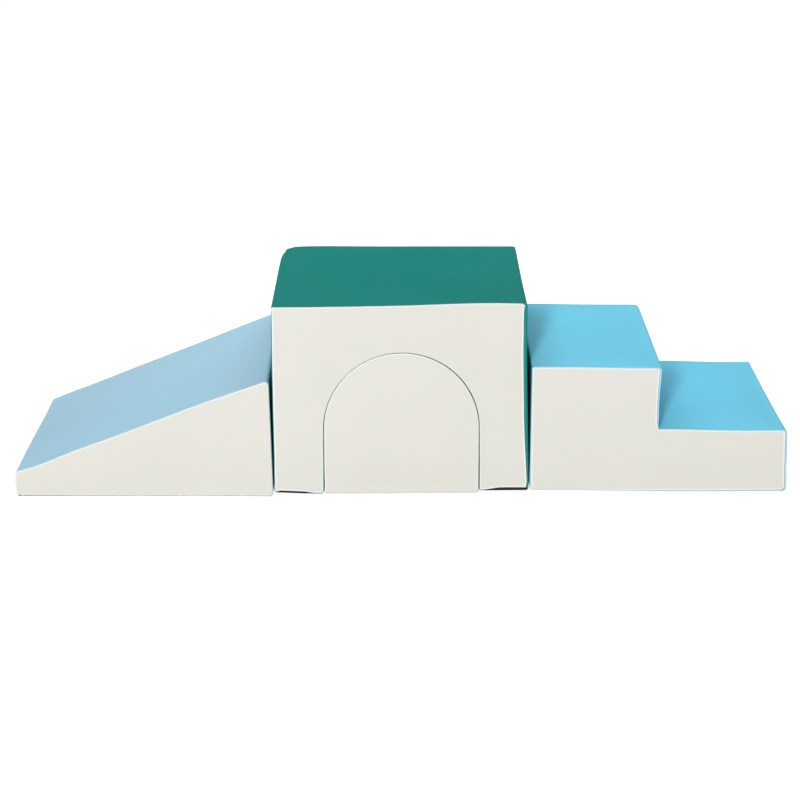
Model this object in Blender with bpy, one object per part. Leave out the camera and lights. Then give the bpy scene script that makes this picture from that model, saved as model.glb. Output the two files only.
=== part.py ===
"""Soft play foam climber: ramp, arch block with its cut-out arch insert, and two steps.

Metres, +Z up. The origin is on the floor under the middle of the row: +X runs along the
row from the ramp to the steps, and -Y is the front. Every block is a foam core inside a
sewn cover. A cover is a few thin panels whose edges meet in the seams, with a zip in the
back panel, and hook and loop strips hold the blocks together.
"""
import math
from collections import namedtuple

import bmesh
import bpy
from mathutils import Matrix, Vector, geometry

# Sizes that all blocks share
BLOCK_DEPTH = 0.610
COVER_THICKNESS = 0.0012
TOUCH_GAP = 0.0003
SEAM_GAP = 0.0004
RIM_RADIUS = 0.004
FOOT_RADIUS = 0.008
SWELL = 0.0045
SWELL_REACH = 0.15
GRID_CELL = 0.080

# Arch block
ARCH_LENGTH = 0.610
ARCH_HEIGHT = 0.463
ARCH_SIDE_LEAN = 0.002
ARCH_TOP_RADIUS = 0.012
TUNNEL_RADIUS = 0.1855
TUNNEL_SPRING = 0.1605

# Ramp
RAMP_LENGTH = 0.612
RAMP_HEIGHT = 0.292
RAMP_LIP_HEIGHT = 0.064
RAMP_END_LEAN = 0.007
RAMP_TOP_RADIUS = 0.009
RAMP_LIP_RADIUS = 0.010
RAMP_FORWARD = 0.015  # the three blocks don't stand quite in line

# Two steps
STAIRS_LENGTH = 0.611
STAIRS_HEIGHT = 0.307
STEP_HEIGHT = 0.153
STEP_DEPTH = 0.306
STAIRS_END_LEAN = 0.005
STAIRS_NOSE_RADIUS = 0.008
STAIRS_INNER_RADIUS = 0.005
STAIRS_BACK = 0.005
STAIRS_BASE_BORDER = 0.012  # the band runs on round the base panel

# Hook and loop strips between the blocks
STRIP_LENGTH = 0.400
STRIP_WIDTH = 0.050
STRIP_THICKNESS = 0.0012
STRIP_LOW_EDGE = 0.060
STRIP_CORNER_RADIUS = 0.008

# Zips, let into the back panels
ZIP_LENGTH = 0.480
INSERT_ZIP_LENGTH = 0.260
ZIP_OPENING_WIDTH = 0.016
ZIP_HEIGHT = 0.042  # on the arch block the zip runs above the tunnel
CHAIN_WIDTH = 0.0060
CHAIN_HEIGHT = 0.0015
CHAIN_END_MARGIN = 0.008

# Zip slider and its pull
SLIDER_LENGTH = 0.013
SLIDER_WIDTH = 0.011
SLIDER_TOP_THICKNESS = 0.0016
BRIDGE_LENGTH = 0.0100
BRIDGE_BAR = 0.0016
BRIDGE_POST = 0.0018
PULL_WIDTH = 0.0056
PULL_TIP_WIDTH = 0.0085
PULL_LENGTH = 0.026
PULL_THICKNESS = 0.0018
PULL_EYE_WALL = 0.0008
PULL_RUNNING_GAP = 0.0003

# Facets of the round shapes
CORNER_STEPS = 2
RIM_STEPS = 2
TUNNEL_STEPS = 24
EYE_STEPS = 16
ROUND_PROFILE = 0.5
SHARP_ANGLE = math.radians(50)
ANCHOR_ANGLE = math.radians(10)
HALF_TURN_COS = math.cos(math.radians(45))
STRAIGHT_BACK_SHARE = 0.999

REGIONS = ("front", "back", "band", "lining", "base", "right_base", "zip")
FLAT_REGIONS = ("lining", "base", "right_base", "zip")
LEFT = Vector((-1, 0, 0))
RIGHT = Vector((1, 0, 0))
DOWN = Vector((0, 0, -1))

ZipLine = namedtuple("ZipLine", "middle length height")


def material(name, colour, roughness, metallic=0.0):
    """A plain material with the colour, roughness and metallic value of one finish."""
    made = bpy.data.materials.new(name)
    made.use_nodes = True
    shader = made.node_tree.nodes["Principled BSDF"]
    shader.inputs["Base Color"].default_value = (*colour, 1.0)
    shader.inputs["Roughness"].default_value = roughness
    shader.inputs["Metallic"].default_value = metallic
    return made


def object_from(bm, name, finish, parent):
    """Turn a finished bmesh into a named object under a parent empty."""
    mesh = bpy.data.meshes.new(name)
    bm.to_mesh(mesh)
    bm.free()
    mesh.materials.append(finish)
    mesh.shade_smooth()
    mesh.set_sharp_from_angle(angle=SHARP_ANGLE)
    made = bpy.data.objects.new(name, mesh)
    bpy.context.scene.collection.objects.link(made)
    made.parent = parent
    return made


def empty(name, place, parent=None):
    """An empty that carries the pieces of one block or one moving body."""
    made = bpy.data.objects.new(name, None)
    bpy.context.scene.collection.objects.link(made)
    made.location = place
    made.parent = parent
    return made


def arc(centre, start, sweep, steps):
    """Points of an arc in the outline plane that starts at a point, both ends included."""
    spoke = Vector(start) - Vector(centre)
    turns = [Matrix.Rotation(sweep * step / steps, 2) for step in range(steps + 1)]
    return [Vector(centre) + turn @ spoke for turn in turns]


def rounded(corners):
    """Outline points of a polygon (x, z, radius) whose corners are rounded off."""
    points = []
    for index, (x, z, radius) in enumerate(corners):
        here = Vector((x, z))
        before = (Vector(corners[index - 1][:2]) - here).normalized()
        after = (Vector(corners[(index + 1) % len(corners)][:2]) - here).normalized()
        if radius == 0:
            points.append(here)
            continue
        opening = before.angle(after)
        reach = radius / math.tan(opening / 2)
        centre = here + (before + after).normalized() * radius / math.sin(opening / 2)
        turn = math.copysign(math.pi - opening, after.cross(before))
        points += arc(centre, here + before * reach, turn, CORNER_STEPS)
    return points


def extruded(outline, plane, length):
    """A closed bar with an outline in the plane XZ, YZ or XY, centred along its length."""
    along = {"XZ": Vector((0, 1, 0)), "YZ": Vector((1, 0, 0)), "XY": Vector((0, 0, 1))}[plane]
    first, second = {"XZ": (0, 2), "YZ": (1, 2), "XY": (0, 1)}[plane]
    bm = bmesh.new()
    verts = []
    for a, b in outline:
        corner = -along * length / 2
        corner[first] += a
        corner[second] += b
        verts.append(bm.verts.new(corner))
    swept = bmesh.ops.extrude_face_region(bm, geom=[bm.faces.new(verts)])
    moved = [item for item in swept["geom"] if isinstance(item, bmesh.types.BMVert)]
    bmesh.ops.translate(bm, verts=moved, vec=along * length)
    bmesh.ops.recalc_face_normals(bm, faces=bm.faces)
    return bm


def with_edges(faces):
    """Faces together with their edges and corners."""
    edges = {edge for face in faces for edge in face.edges}
    verts = {vert for face in faces for vert in face.verts}
    return [*faces, *edges, *verts]


def cut(bm, faces, place, normal):
    """Cut faces along a plane without taking anything away."""
    geom = with_edges(faces)
    bmesh.ops.bisect_plane(bm, geom=geom, plane_co=place, plane_no=normal, dist=TOUCH_GAP)


def even_cuts(bm, axis):
    """Cut the whole form into equal cells along one axis."""
    low = min(vert.co[axis] for vert in bm.verts)
    high = max(vert.co[axis] for vert in bm.verts)
    cells = max(1, round((high - low) / GRID_CELL))
    normal = [0, 0, 0]
    normal[axis] = 1
    for cell in range(1, cells):
        place = [0, 0, 0]
        place[axis] = low + (high - low) * cell / cells
        cut(bm, bm.faces[:], place, normal)


def block_region(face):
    """Which panel of a plain block's cover a face belongs to."""
    normal = face.normal
    if abs(normal.y) > HALF_TURN_COS:
        return "front" if normal.y < 0 else "back"
    is_low = face.calc_center_median().z < FOOT_RADIUS
    return "base" if is_low and -normal.z > abs(normal.x) else "band"


def arch_region(face):
    """Which panel of the arch block's cover a face belongs to."""
    region = block_region(face)
    place = face.calc_center_median()
    inner_width = TUNNEL_RADIUS + FOOT_RADIUS
    if region == "band" and abs(place.x) < inner_width and place.z < TUNNEL_SPRING + TUNNEL_RADIUS:
        return "lining"
    return "right_base" if region == "base" and place.x > 0 else region


def stairs_region(face):
    """Which panel of the steps' cover a face belongs to: the band also borders the base."""
    region = block_region(face)
    if region != "base":
        return region
    place = face.calc_center_median()
    inside_x = STAIRS_BASE_BORDER < place.x < STAIRS_LENGTH - STAIRS_BASE_BORDER
    inside_y = abs(place.y) < BLOCK_DEPTH / 2 - STAIRS_BASE_BORDER
    return "base" if inside_x and inside_y else "band"


def cut_base_border(bm):
    """Cut the underside of the steps where the base panel is let into the band."""
    bm.normal_update()
    low_x, high_x = STAIRS_BASE_BORDER, STAIRS_LENGTH - STAIRS_BASE_BORDER
    reach = BLOCK_DEPTH / 2 - STAIRS_BASE_BORDER
    for place, normal in (
        ((low_x, 0, 0), (1, 0, 0)),
        ((high_x, 0, 0), (1, 0, 0)),
        ((0, -reach, 0), (0, 1, 0)),
        ((0, reach, 0), (0, 1, 0)),
    ):
        under = [face for face in bm.faces if face.normal.dot(DOWN) > STRAIGHT_BACK_SHARE]
        cut(bm, under, place, normal)


def opening_zone(zip_line):
    """The zip's opening in the back panel: low x, low z, high x, high z."""
    return zone(zip_line, zip_line.length, ZIP_OPENING_WIDTH)


def chain_zone(zip_line):
    """Where the closed chain lies on its tape."""
    return zone(zip_line, zip_line.length - 2 * CHAIN_END_MARGIN, CHAIN_WIDTH)


def zone(zip_line, length, width):
    """A rectangle on the back with the zip in its middle."""
    middle, height = zip_line.middle, zip_line.height
    return middle - length / 2, height - width / 2, middle + length / 2, height + width / 2


def back_faces(bm, limits=None):
    """The flat faces that point to the back, all or those within a zone."""
    bm.normal_update()
    found = [face for face in bm.faces if face.normal.y > STRAIGHT_BACK_SHARE]
    if limits is None:
        return found
    low_x, low_z, high_x, high_z = limits
    places = [(face, face.calc_center_median()) for face in found]
    return [face for face, at in places if low_x < at.x < high_x and low_z < at.z < high_z]


def cut_zone(bm, limits, within=None):
    """Cut the back along the four sides of a zone."""
    low_x, low_z, high_x, high_z = limits
    for x in (low_x, high_x):
        cut(bm, back_faces(bm, within), (x, 0, 0), (1, 0, 0))
    for z in (low_z, high_z):
        cut(bm, back_faces(bm, within), (0, 0, z), (0, 0, 1))


def block_form(
    outline, region_of, zip_line, pressed_sides=(), pressed_regions=(), more_cuts=None
):
    """The outer surface of a covered block, with each face marked with its panel.

    Sides and regions that press against a neighbour stay flat; the others swell. Every
    vertex keeps the direction that leads straight in through the cover, so that panels
    and foam made from the same form lie parallel to each other.
    """
    bm = extruded(outline, "XZ", BLOCK_DEPTH)
    mark = bm.faces.layers.int.new("region")
    inward = bm.verts.layers.float_vector.new("inward")
    flat_rim = [e for e in bm.edges if abs(e.verts[0].co.y - e.verts[1].co.y) < TOUCH_GAP]
    bmesh.ops.bevel(
        bm,
        geom=flat_rim,
        offset=RIM_RADIUS,
        segments=RIM_STEPS,
        profile=ROUND_PROFILE,
        affect="EDGES",
    )
    for axis in range(3):
        even_cuts(bm, axis)
    if more_cuts:
        more_cuts(bm)
    cut_zone(bm, opening_zone(zip_line))
    cut_zone(bm, chain_zone(zip_line), opening_zone(zip_line))
    opening = back_faces(bm, opening_zone(zip_line))
    for face in bm.faces:
        face[mark] = REGIONS.index("zip" if face in opening else region_of(face))
    bmesh.ops.triangulate(bm, faces=bm.faces)
    bm.normal_update()
    swell(bm, mark, pressed_sides, pressed_regions)
    bm.normal_update()
    for vert in bm.verts:
        vert[inward] = -vert.normal * vert.calc_shell_factor()
    return bm


def swell(bm, mark, pressed_sides, pressed_regions):
    """Swell every panel between its seams and corners, apart from those that lie flat."""
    anchors = []
    for edge in bm.edges:
        first, second = edge.link_faces
        if first[mark] != second[mark] or edge.calc_face_angle() > ANCHOR_ANGLE:
            anchors.append(tuple(vert.co.copy() for vert in edge.verts))
    flat = {REGIONS.index(name) for name in (*FLAT_REGIONS, *pressed_regions)}
    lifts = []
    for vert in bm.verts:
        lies_flat = any(face[mark] in flat for face in vert.link_faces)
        if lies_flat or any(vert.normal.dot(side) > HALF_TURN_COS for side in pressed_sides):
            continue
        distance = min(distance_to(vert.co, ends) for ends in anchors)
        rise_share = 1 - (1 - min(distance / SWELL_REACH, 1)) ** 2
        lifts.append((vert, vert.normal * SWELL * rise_share))
    for vert, lift in lifts:
        vert.co += lift


def distance_to(point, ends):
    """Distance from a point to a straight edge."""
    nearest, share = geometry.intersect_point_line(point, *ends)
    if share < 0:
        nearest = ends[0]
    elif share > 1:
        nearest = ends[1]
    return (point - nearest).length


def panel(name, form, region, finish, parent):
    """One sewn panel: the form's faces of one region, drawn back from the seams."""
    bm = form.copy()
    mark = bm.faces.layers.int["region"]
    others = [face for face in bm.faces if face[mark] != REGIONS.index(region)]
    bmesh.ops.delete(bm, geom=others, context="FACES")
    rim = bmesh.ops.inset_region(
        bm, faces=bm.faces, thickness=SEAM_GAP / 2, use_boundary=True, use_even_offset=True
    )
    bmesh.ops.delete(bm, geom=rim["faces"], context="FACES")
    inward = bm.verts.layers.float_vector["inward"]
    sheet = bmesh.ops.extrude_face_region(bm, geom=bm.faces[:])
    for item in sheet["geom"]:
        if isinstance(item, bmesh.types.BMVert):
            item.co += item[inward] * COVER_THICKNESS
    bmesh.ops.recalc_face_normals(bm, faces=bm.faces)
    return object_from(bm, name, finish, parent)


def core(form, below=None, above=None):
    """The foam inside a cover, or the slab of it that lies below or above a height."""
    bm = form.copy()
    inward = bm.verts.layers.float_vector["inward"]
    for vert in bm.verts:
        vert.co += vert[inward] * (COVER_THICKNESS + TOUCH_GAP)
    if below is not None or above is not None:
        height, normal = (below, (0, 0, 1)) if above is None else (above, (0, 0, -1))
        everything = [*bm.verts, *bm.edges, *bm.faces]
        bmesh.ops.bisect_plane(
            bm, geom=everything, plane_co=(0, 0, height), plane_no=normal, clear_outer=True
        )
        open_edges = [edge for edge in bm.edges if edge.is_boundary]
        bmesh.ops.contextual_create(bm, geom=open_edges)
        bmesh.ops.recalc_face_normals(bm, faces=bm.faces)
    return bm


def zip_tape(name, form, zip_line, finish, parent):
    """The zip's tape in its opening, with the closed chain standing proud of it."""
    made = panel(name, form, "zip", finish, parent)
    bm = bmesh.new()
    bm.from_mesh(made.data)
    chain = back_faces(bm, chain_zone(zip_line))
    raised = bmesh.ops.extrude_face_region(bm, geom=with_edges(chain))
    tops = [item for item in raised["geom"] if isinstance(item, bmesh.types.BMVert)]
    bmesh.ops.translate(bm, verts=tops, vec=(0, CHAIN_HEIGHT, 0))
    bm.to_mesh(made.data)
    bm.free()
    return made


def slider_shape():
    """Zip slider: a channel that rides over the chain, and the bridge that holds the pull."""
    channel_top = CHAIN_HEIGHT + TOUCH_GAP
    plate_top = channel_top + SLIDER_TOP_THICKNESS
    half, inner = SLIDER_WIDTH / 2, CHAIN_WIDTH / 2 + TOUCH_GAP
    section = [
        (TOUCH_GAP, -half), (plate_top, -half), (plate_top, half), (TOUCH_GAP, half),
        (TOUCH_GAP, inner), (channel_top, inner), (channel_top, -inner), (TOUCH_GAP, -inner),
    ]
    body = object_from(extruded(section, "YZ", SLIDER_LENGTH), "slider_shape", None, None)
    reach, root = BRIDGE_LENGTH / 2, plate_top - SLIDER_TOP_THICKNESS / 2
    bar_low, bar_high = bar_height() - BRIDGE_BAR / 2, bar_height() + BRIDGE_BAR / 2
    staple = [
        (-reach, root), (BRIDGE_POST - reach, root), (BRIDGE_POST - reach, bar_low),
        (reach - BRIDGE_POST, bar_low), (reach - BRIDGE_POST, root), (reach, root),
        (reach, bar_high), (-reach, bar_high),
    ]
    bridge = object_from(extruded(staple, "XY", BRIDGE_BAR), "slider_bridge", None, None)
    return combined(body, bridge, "UNION")


def bar_height():
    """Height of the bridge's bar above the tape: the pull's eye clears the slider's plate."""
    plate_top = CHAIN_HEIGHT + TOUCH_GAP + SLIDER_TOP_THICKNESS
    return plate_top + PULL_RUNNING_GAP + eye_radius() + PULL_EYE_WALL


def eye_radius():
    """Radius of the pull's eye, which turns freely round the square bar."""
    return BRIDGE_BAR / math.sqrt(2) + PULL_RUNNING_GAP


def pull_shape():
    """Zip pull: an eye round the bridge's bar, and a tab that widens to its rounded tip."""
    outer = eye_radius() + PULL_EYE_WALL
    half = PULL_THICKNESS / 2
    shoulder = math.asin(half / outer)
    start = (-half, -outer * math.cos(shoulder))
    ring = arc((0, 0), start, shoulder * 2 - math.tau, EYE_STEPS)
    tab_low = half - PULL_LENGTH
    profile = ring + arc((0, tab_low), (half, tab_low), -math.pi, CORNER_STEPS)
    bm = extruded(profile, "YZ", PULL_WIDTH)
    for vert in bm.verts:
        drop_share = max(0, -vert.co.z - outer) / (PULL_LENGTH - outer)
        vert.co.x *= 1 + drop_share * (PULL_TIP_WIDTH / PULL_WIDTH - 1)
    tab = object_from(bm, "pull_shape", None, None)
    hole_outline = arc((0, 0), (eye_radius(), 0), math.tau, EYE_STEPS)[:-1]
    hole = object_from(extruded(hole_outline, "YZ", 2 * PULL_WIDTH), "pull_eye", None, None)
    return combined(tab, hole, "DIFFERENCE")


def combined(body, other, operation):
    """The mesh of two shapes joined or cut by a Boolean, with both shapes taken away."""
    modifier = body.modifiers.new(operation.title(), "BOOLEAN")
    modifier.operation = operation
    modifier.object = other
    ready = body.evaluated_get(bpy.context.evaluated_depsgraph_get())
    mesh = bpy.data.meshes.new_from_object(ready)
    for scrap in (body, other):
        bpy.data.objects.remove(scrap)
    return mesh


def placed(name, mesh, finish, parent):
    """A copy of a ready mesh as its own object."""
    own = mesh.copy()
    own.materials.clear()
    own.materials.append(finish)
    own.set_sharp_from_angle(angle=SHARP_ANGLE)
    made = bpy.data.objects.new(name, own)
    bpy.context.scene.collection.objects.link(made)
    made.parent = parent
    return made


def side_strip(name, finish, parent, place, lean, outward):
    """A hook or loop strip that lies on an upright or slightly leaning end of a block."""
    outline = rounded([
        (-STRIP_LENGTH / 2, -STRIP_WIDTH / 2, STRIP_CORNER_RADIUS),
        (STRIP_LENGTH / 2, -STRIP_WIDTH / 2, STRIP_CORNER_RADIUS),
        (STRIP_LENGTH / 2, STRIP_WIDTH / 2, STRIP_CORNER_RADIUS),
        (-STRIP_LENGTH / 2, STRIP_WIDTH / 2, STRIP_CORNER_RADIUS),
    ])
    made = object_from(extruded(outline, "YZ", STRIP_THICKNESS), name, finish, parent)
    made.location = Vector(place) + Vector((outward * (TOUCH_GAP + STRIP_THICKNESS / 2), 0, 0))
    made.rotation_euler = (0, lean, 0)
    return made


def lean_at(lean, height, level):
    """How far a leaning end has moved in at one level, from its lean over the full height."""
    return lean * level / height


def add_zip(prefix, form, zip_line, finishes, parent, shapes):
    """Tape, slider and pull of one zip; the slider waits at the closed left end."""
    zip_tape(f"{prefix}_zip_tape", form, zip_line, finishes["zip_tape"], parent)
    closed = zip_line.middle - zip_line.length / 2 + CHAIN_END_MARGIN + SLIDER_LENGTH / 2
    slider = empty(f"{prefix}_slider_seat", (closed, BLOCK_DEPTH / 2, zip_line.height), parent)
    hinge = empty(f"{prefix}_pull_hinge", (0, bar_height(), 0), slider)
    placed(f"{prefix}_zip_slider", shapes["slider"], finishes["zip_metal"], slider)
    placed(f"{prefix}_zip_pull", shapes["pull"], finishes["zip_metal"], hinge)


def build_arch_block(finishes, shapes):
    """The middle block: a deck on two legs with a round-topped tunnel between them."""
    seat = empty("arch_block", (0, 0, 0))
    half = ARCH_LENGTH / 2
    top = half - ARCH_SIDE_LEAN
    sides = rounded([
        (-TUNNEL_RADIUS, TUNNEL_SPRING, 0),
        (-TUNNEL_RADIUS, 0, FOOT_RADIUS),
        (-half, 0, FOOT_RADIUS),
        (-top, ARCH_HEIGHT, ARCH_TOP_RADIUS),
        (top, ARCH_HEIGHT, ARCH_TOP_RADIUS),
        (half, 0, FOOT_RADIUS),
        (TUNNEL_RADIUS, 0, FOOT_RADIUS),
        (TUNNEL_RADIUS, TUNNEL_SPRING, 0),
    ])
    vault = arc((0, TUNNEL_SPRING), (TUNNEL_RADIUS, TUNNEL_SPRING), math.pi, TUNNEL_STEPS)
    tunnel_top = TUNNEL_SPRING + TUNNEL_RADIUS
    zip_line = ZipLine(0, ZIP_LENGTH, (tunnel_top + ARCH_HEIGHT) / 2)
    form = block_form(sides + vault[1:-1], arch_region, zip_line, pressed_sides=(LEFT, RIGHT))
    object_from(core(form), "arch_foam_core", finishes["foam"], seat)
    for name, region, finish in (
        ("arch_front_panel", "front", "cream"),
        ("arch_back_panel", "back", "cream"),
        ("arch_outer_band", "band", "green"),
        ("arch_tunnel_lining", "lining", "green"),
        ("arch_left_base_panel", "base", "non_slip"),
        ("arch_right_base_panel", "right_base", "non_slip"),
    ):
        panel(name, form, region, finishes[finish], seat)
    add_zip("arch", form, zip_line, finishes, seat, shapes)
    level = STRIP_LOW_EDGE + STRIP_WIDTH / 2
    lean = math.atan(ARCH_SIDE_LEAN / ARCH_HEIGHT)
    for side, word in ((-1, "left"), (1, "right")):
        reach = half - lean_at(ARCH_SIDE_LEAN, ARCH_HEIGHT, level)
        place = (side * reach, 0, level)
        side_strip(f"arch_{word}_loop_strip", finishes["loop"], seat, place, -side * lean, side)
    form.free()


def build_insert(finishes, shapes):
    """The foam cut out of the tunnel, in its own cover; it slides out to the front."""
    seat = empty("arch_insert", (0, 0, 0))
    half = TUNNEL_RADIUS - TOUCH_GAP
    spring = TUNNEL_SPRING
    feet = rounded([
        (-half, spring, 0),
        (-half, 0, FOOT_RADIUS),
        (half, 0, FOOT_RADIUS),
        (half, spring, 0),
    ])
    crown = arc((0, spring), (half, spring), math.pi, TUNNEL_STEPS)[1:-1]
    zip_line = ZipLine(0, INSERT_ZIP_LENGTH, ZIP_HEIGHT)
    form = block_form(feet + crown, block_region, zip_line, pressed_regions=("band",))
    object_from(core(form), "insert_foam_core", finishes["foam"], seat)
    for name, region, finish in (
        ("insert_front_panel", "front", "cream"),
        ("insert_back_panel", "back", "cream"),
        ("insert_curved_band", "band", "green"),
        ("insert_base_panel", "base", "non_slip"),
    ):
        panel(name, form, region, finishes[finish], seat)
    add_zip("insert", form, zip_line, finishes, seat, shapes)
    form.free()


def strip_stack():
    """Space that a mated pair of hook and loop strips takes between two blocks."""
    return 2 * STRIP_THICKNESS + 3 * TOUCH_GAP


def seat_beside_arch(lean, height):
    """Where an end that leans away starts at the floor, so that the strips just meet."""
    arch_side = ARCH_LENGTH / 2 - lean_at(ARCH_SIDE_LEAN, ARCH_HEIGHT, STRIP_LOW_EDGE)
    return arch_side + strip_stack() - lean_at(lean, height, STRIP_LOW_EDGE)


def build_ramp(finishes, shapes):
    """The wedge that leads up to the arch block from the left."""
    seat_x = -seat_beside_arch(RAMP_END_LEAN, RAMP_HEIGHT)
    seat = empty("ramp", (seat_x, -RAMP_FORWARD, 0))
    outline = rounded([
        (-RAMP_LENGTH, 0, FOOT_RADIUS),
        (0, 0, FOOT_RADIUS),
        (-RAMP_END_LEAN, RAMP_HEIGHT, RAMP_TOP_RADIUS),
        (-RAMP_LENGTH, RAMP_LIP_HEIGHT, RAMP_LIP_RADIUS),
    ])
    zip_line = ZipLine(-RAMP_LENGTH / 2, ZIP_LENGTH, ZIP_HEIGHT)
    form = block_form(outline, block_region, zip_line, pressed_sides=(RIGHT,))
    object_from(core(form), "ramp_foam_core", finishes["foam"], seat)
    for name, region, finish in (
        ("ramp_front_panel", "front", "cream"),
        ("ramp_back_panel", "back", "cream"),
        ("ramp_slope_band", "band", "pale_blue"),
        ("ramp_base_panel", "base", "non_slip"),
    ):
        panel(name, form, region, finishes[finish], seat)
    add_zip("ramp", form, zip_line, finishes, seat, shapes)
    level = STRIP_LOW_EDGE + STRIP_WIDTH / 2
    place = (-lean_at(RAMP_END_LEAN, RAMP_HEIGHT, level), 0, level)
    lean = math.atan(RAMP_END_LEAN / RAMP_HEIGHT)
    side_strip("ramp_hook_strip", finishes["hook"], seat, place, -lean, 1)
    form.free()


def build_stairs(finishes, shapes):
    """The two steps on the right, cut from two slabs of foam in one cover."""
    seat_x = seat_beside_arch(STAIRS_END_LEAN, STAIRS_HEIGHT)
    seat = empty("stairs", (seat_x, STAIRS_BACK, 0))
    outline = rounded([
        (0, 0, FOOT_RADIUS),
        (STAIRS_LENGTH, 0, FOOT_RADIUS),
        (STAIRS_LENGTH, STEP_HEIGHT, STAIRS_NOSE_RADIUS),
        (STEP_DEPTH, STEP_HEIGHT, STAIRS_INNER_RADIUS),
        (STEP_DEPTH, STAIRS_HEIGHT, STAIRS_NOSE_RADIUS),
        (STAIRS_END_LEAN, STAIRS_HEIGHT, STAIRS_NOSE_RADIUS),
    ])
    zip_line = ZipLine(STAIRS_LENGTH / 2, ZIP_LENGTH, ZIP_HEIGHT)
    form = block_form(outline, stairs_region, zip_line, (LEFT, DOWN), more_cuts=cut_base_border)
    split = STEP_HEIGHT + SWELL
    lower, upper = core(form, below=split), core(form, above=split + TOUCH_GAP)
    object_from(lower, "stairs_lower_foam_slab", finishes["foam"], seat)
    object_from(upper, "stairs_upper_foam_slab", finishes["foam"], seat)
    for name, region, finish in (
        ("stairs_front_panel", "front", "cream"),
        ("stairs_back_panel", "back", "cream"),
        ("stairs_step_band", "band", "sky_blue"),
        ("stairs_base_panel", "base", "non_slip"),
    ):
        panel(name, form, region, finishes[finish], seat)
    add_zip("stairs", form, zip_line, finishes, seat, shapes)
    level = STRIP_LOW_EDGE + STRIP_WIDTH / 2
    place = (lean_at(STAIRS_END_LEAN, STAIRS_HEIGHT, level), 0, level)
    lean = math.atan(STAIRS_END_LEAN / STAIRS_HEIGHT)
    side_strip("stairs_hook_strip", finishes["hook"], seat, place, lean, -1)
    form.free()


def make_finishes():
    """All materials, by the finish they stand for."""
    return {
        "cream": material("cream_vinyl", (0.77, 0.76, 0.70), 0.45),
        "green": material("green_vinyl", (0.011, 0.235, 0.200), 0.45),
        "pale_blue": material("pale_blue_vinyl", (0.38, 0.60, 0.72), 0.45),
        "sky_blue": material("sky_blue_vinyl", (0.16, 0.59, 0.78), 0.45),
        "non_slip": material("non_slip_base", (0.025, 0.025, 0.022), 0.85),
        "foam": material("foam", (0.85, 0.82, 0.70), 0.95),
        "loop": material("loop_strip", (0.03, 0.03, 0.03), 0.95),
        "hook": material("hook_strip", (0.05, 0.05, 0.05), 0.85),
        "zip_tape": material("zip_tape", (0.70, 0.69, 0.64), 0.85),
        "zip_metal": material("zip_metal", (0.62, 0.62, 0.60), 0.30, 1.0),
    }


def main():
    for old in list(bpy.data.objects):
        bpy.data.objects.remove(old)
    finishes = make_finishes()
    shapes = {"slider": slider_shape(), "pull": pull_shape()}
    build_arch_block(finishes, shapes)
    build_insert(finishes, shapes)
    build_ramp(finishes, shapes)
    build_stairs(finishes, shapes)


main()
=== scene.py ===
"""Looks of a soft play foam climber: a ramp, an arch block with its arch insert, and two steps.

Metres, +Z up, in the frame of the solids: +X runs along the row from the ramp to the steps,
and -Y is the front. Every block is foam in a sewn cover. A cover is a few vinyl panels whose
edges roll in to their seams, over a non-slip base, with a zip in the back panel.
"""

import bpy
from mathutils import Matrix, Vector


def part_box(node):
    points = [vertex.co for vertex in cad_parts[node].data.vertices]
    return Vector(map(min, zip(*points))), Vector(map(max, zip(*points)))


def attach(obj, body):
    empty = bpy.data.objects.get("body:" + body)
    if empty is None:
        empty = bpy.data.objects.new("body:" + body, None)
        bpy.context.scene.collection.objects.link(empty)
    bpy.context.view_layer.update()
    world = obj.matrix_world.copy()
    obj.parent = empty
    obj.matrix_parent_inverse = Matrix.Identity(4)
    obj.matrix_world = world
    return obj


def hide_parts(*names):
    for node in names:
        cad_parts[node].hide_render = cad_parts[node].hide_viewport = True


bl_info = {
    "name": "Soft Play Foam Climber",
    "version": (1, 0, 0),
    "blender": (4, 5, 0),
    "location": "3D View > Sidebar > Foam Climber",
    "description": "Sewn vinyl covers, zips and strips of a three-block foam climber",
    "category": "Add Mesh",
}

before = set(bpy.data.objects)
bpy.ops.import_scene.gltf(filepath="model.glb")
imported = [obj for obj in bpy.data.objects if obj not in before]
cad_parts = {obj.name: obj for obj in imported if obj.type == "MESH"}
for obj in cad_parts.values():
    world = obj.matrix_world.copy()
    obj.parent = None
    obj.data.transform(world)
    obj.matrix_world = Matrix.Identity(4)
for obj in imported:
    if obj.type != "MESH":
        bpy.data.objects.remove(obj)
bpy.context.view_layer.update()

import math
from collections import namedtuple
from functools import partial

import bmesh
import bpy
import numpy as np
from bpy.props import FloatProperty, FloatVectorProperty, PointerProperty
from bpy.types import Operator, Panel, PropertyGroup
from mathutils import Matrix, Vector
from mathutils.bvhtree import BVHTree
from mathutils.geometry import delaunay_2d_cdt
from mathutils.kdtree import KDTree

# Camera, floor and lamps
CAMERA_PLACE = (-0.0441, -6.0167, 1.927)
CAMERA_DOWN = 16.533
CAMERA_YAW = -0.409
CAMERA_ROLL = -0.109
CAMERA_LENS = 112.98
SENSOR_WIDTH = 36.0
FLOOR_REACH = 40.0
KEY_PLACE = (-1.59, -10.0, 3.36)
KEY_AIM = (1.2, 0.0, 0.2)
KEY_SIZE = 0.90
KEY_SHEEN = 0.04  # share of the key light that gloss shows
TOP_PLACE = (0.0, 2.73, 3.13)
TOP_AIM = (0.0, 0.0, 0.2)
TOP_SIZE = 4.0
NEAR_FLOOR = 1.0  # from here to the next distance the floor turns plain white
FAR_FLOOR = 3.0

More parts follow.
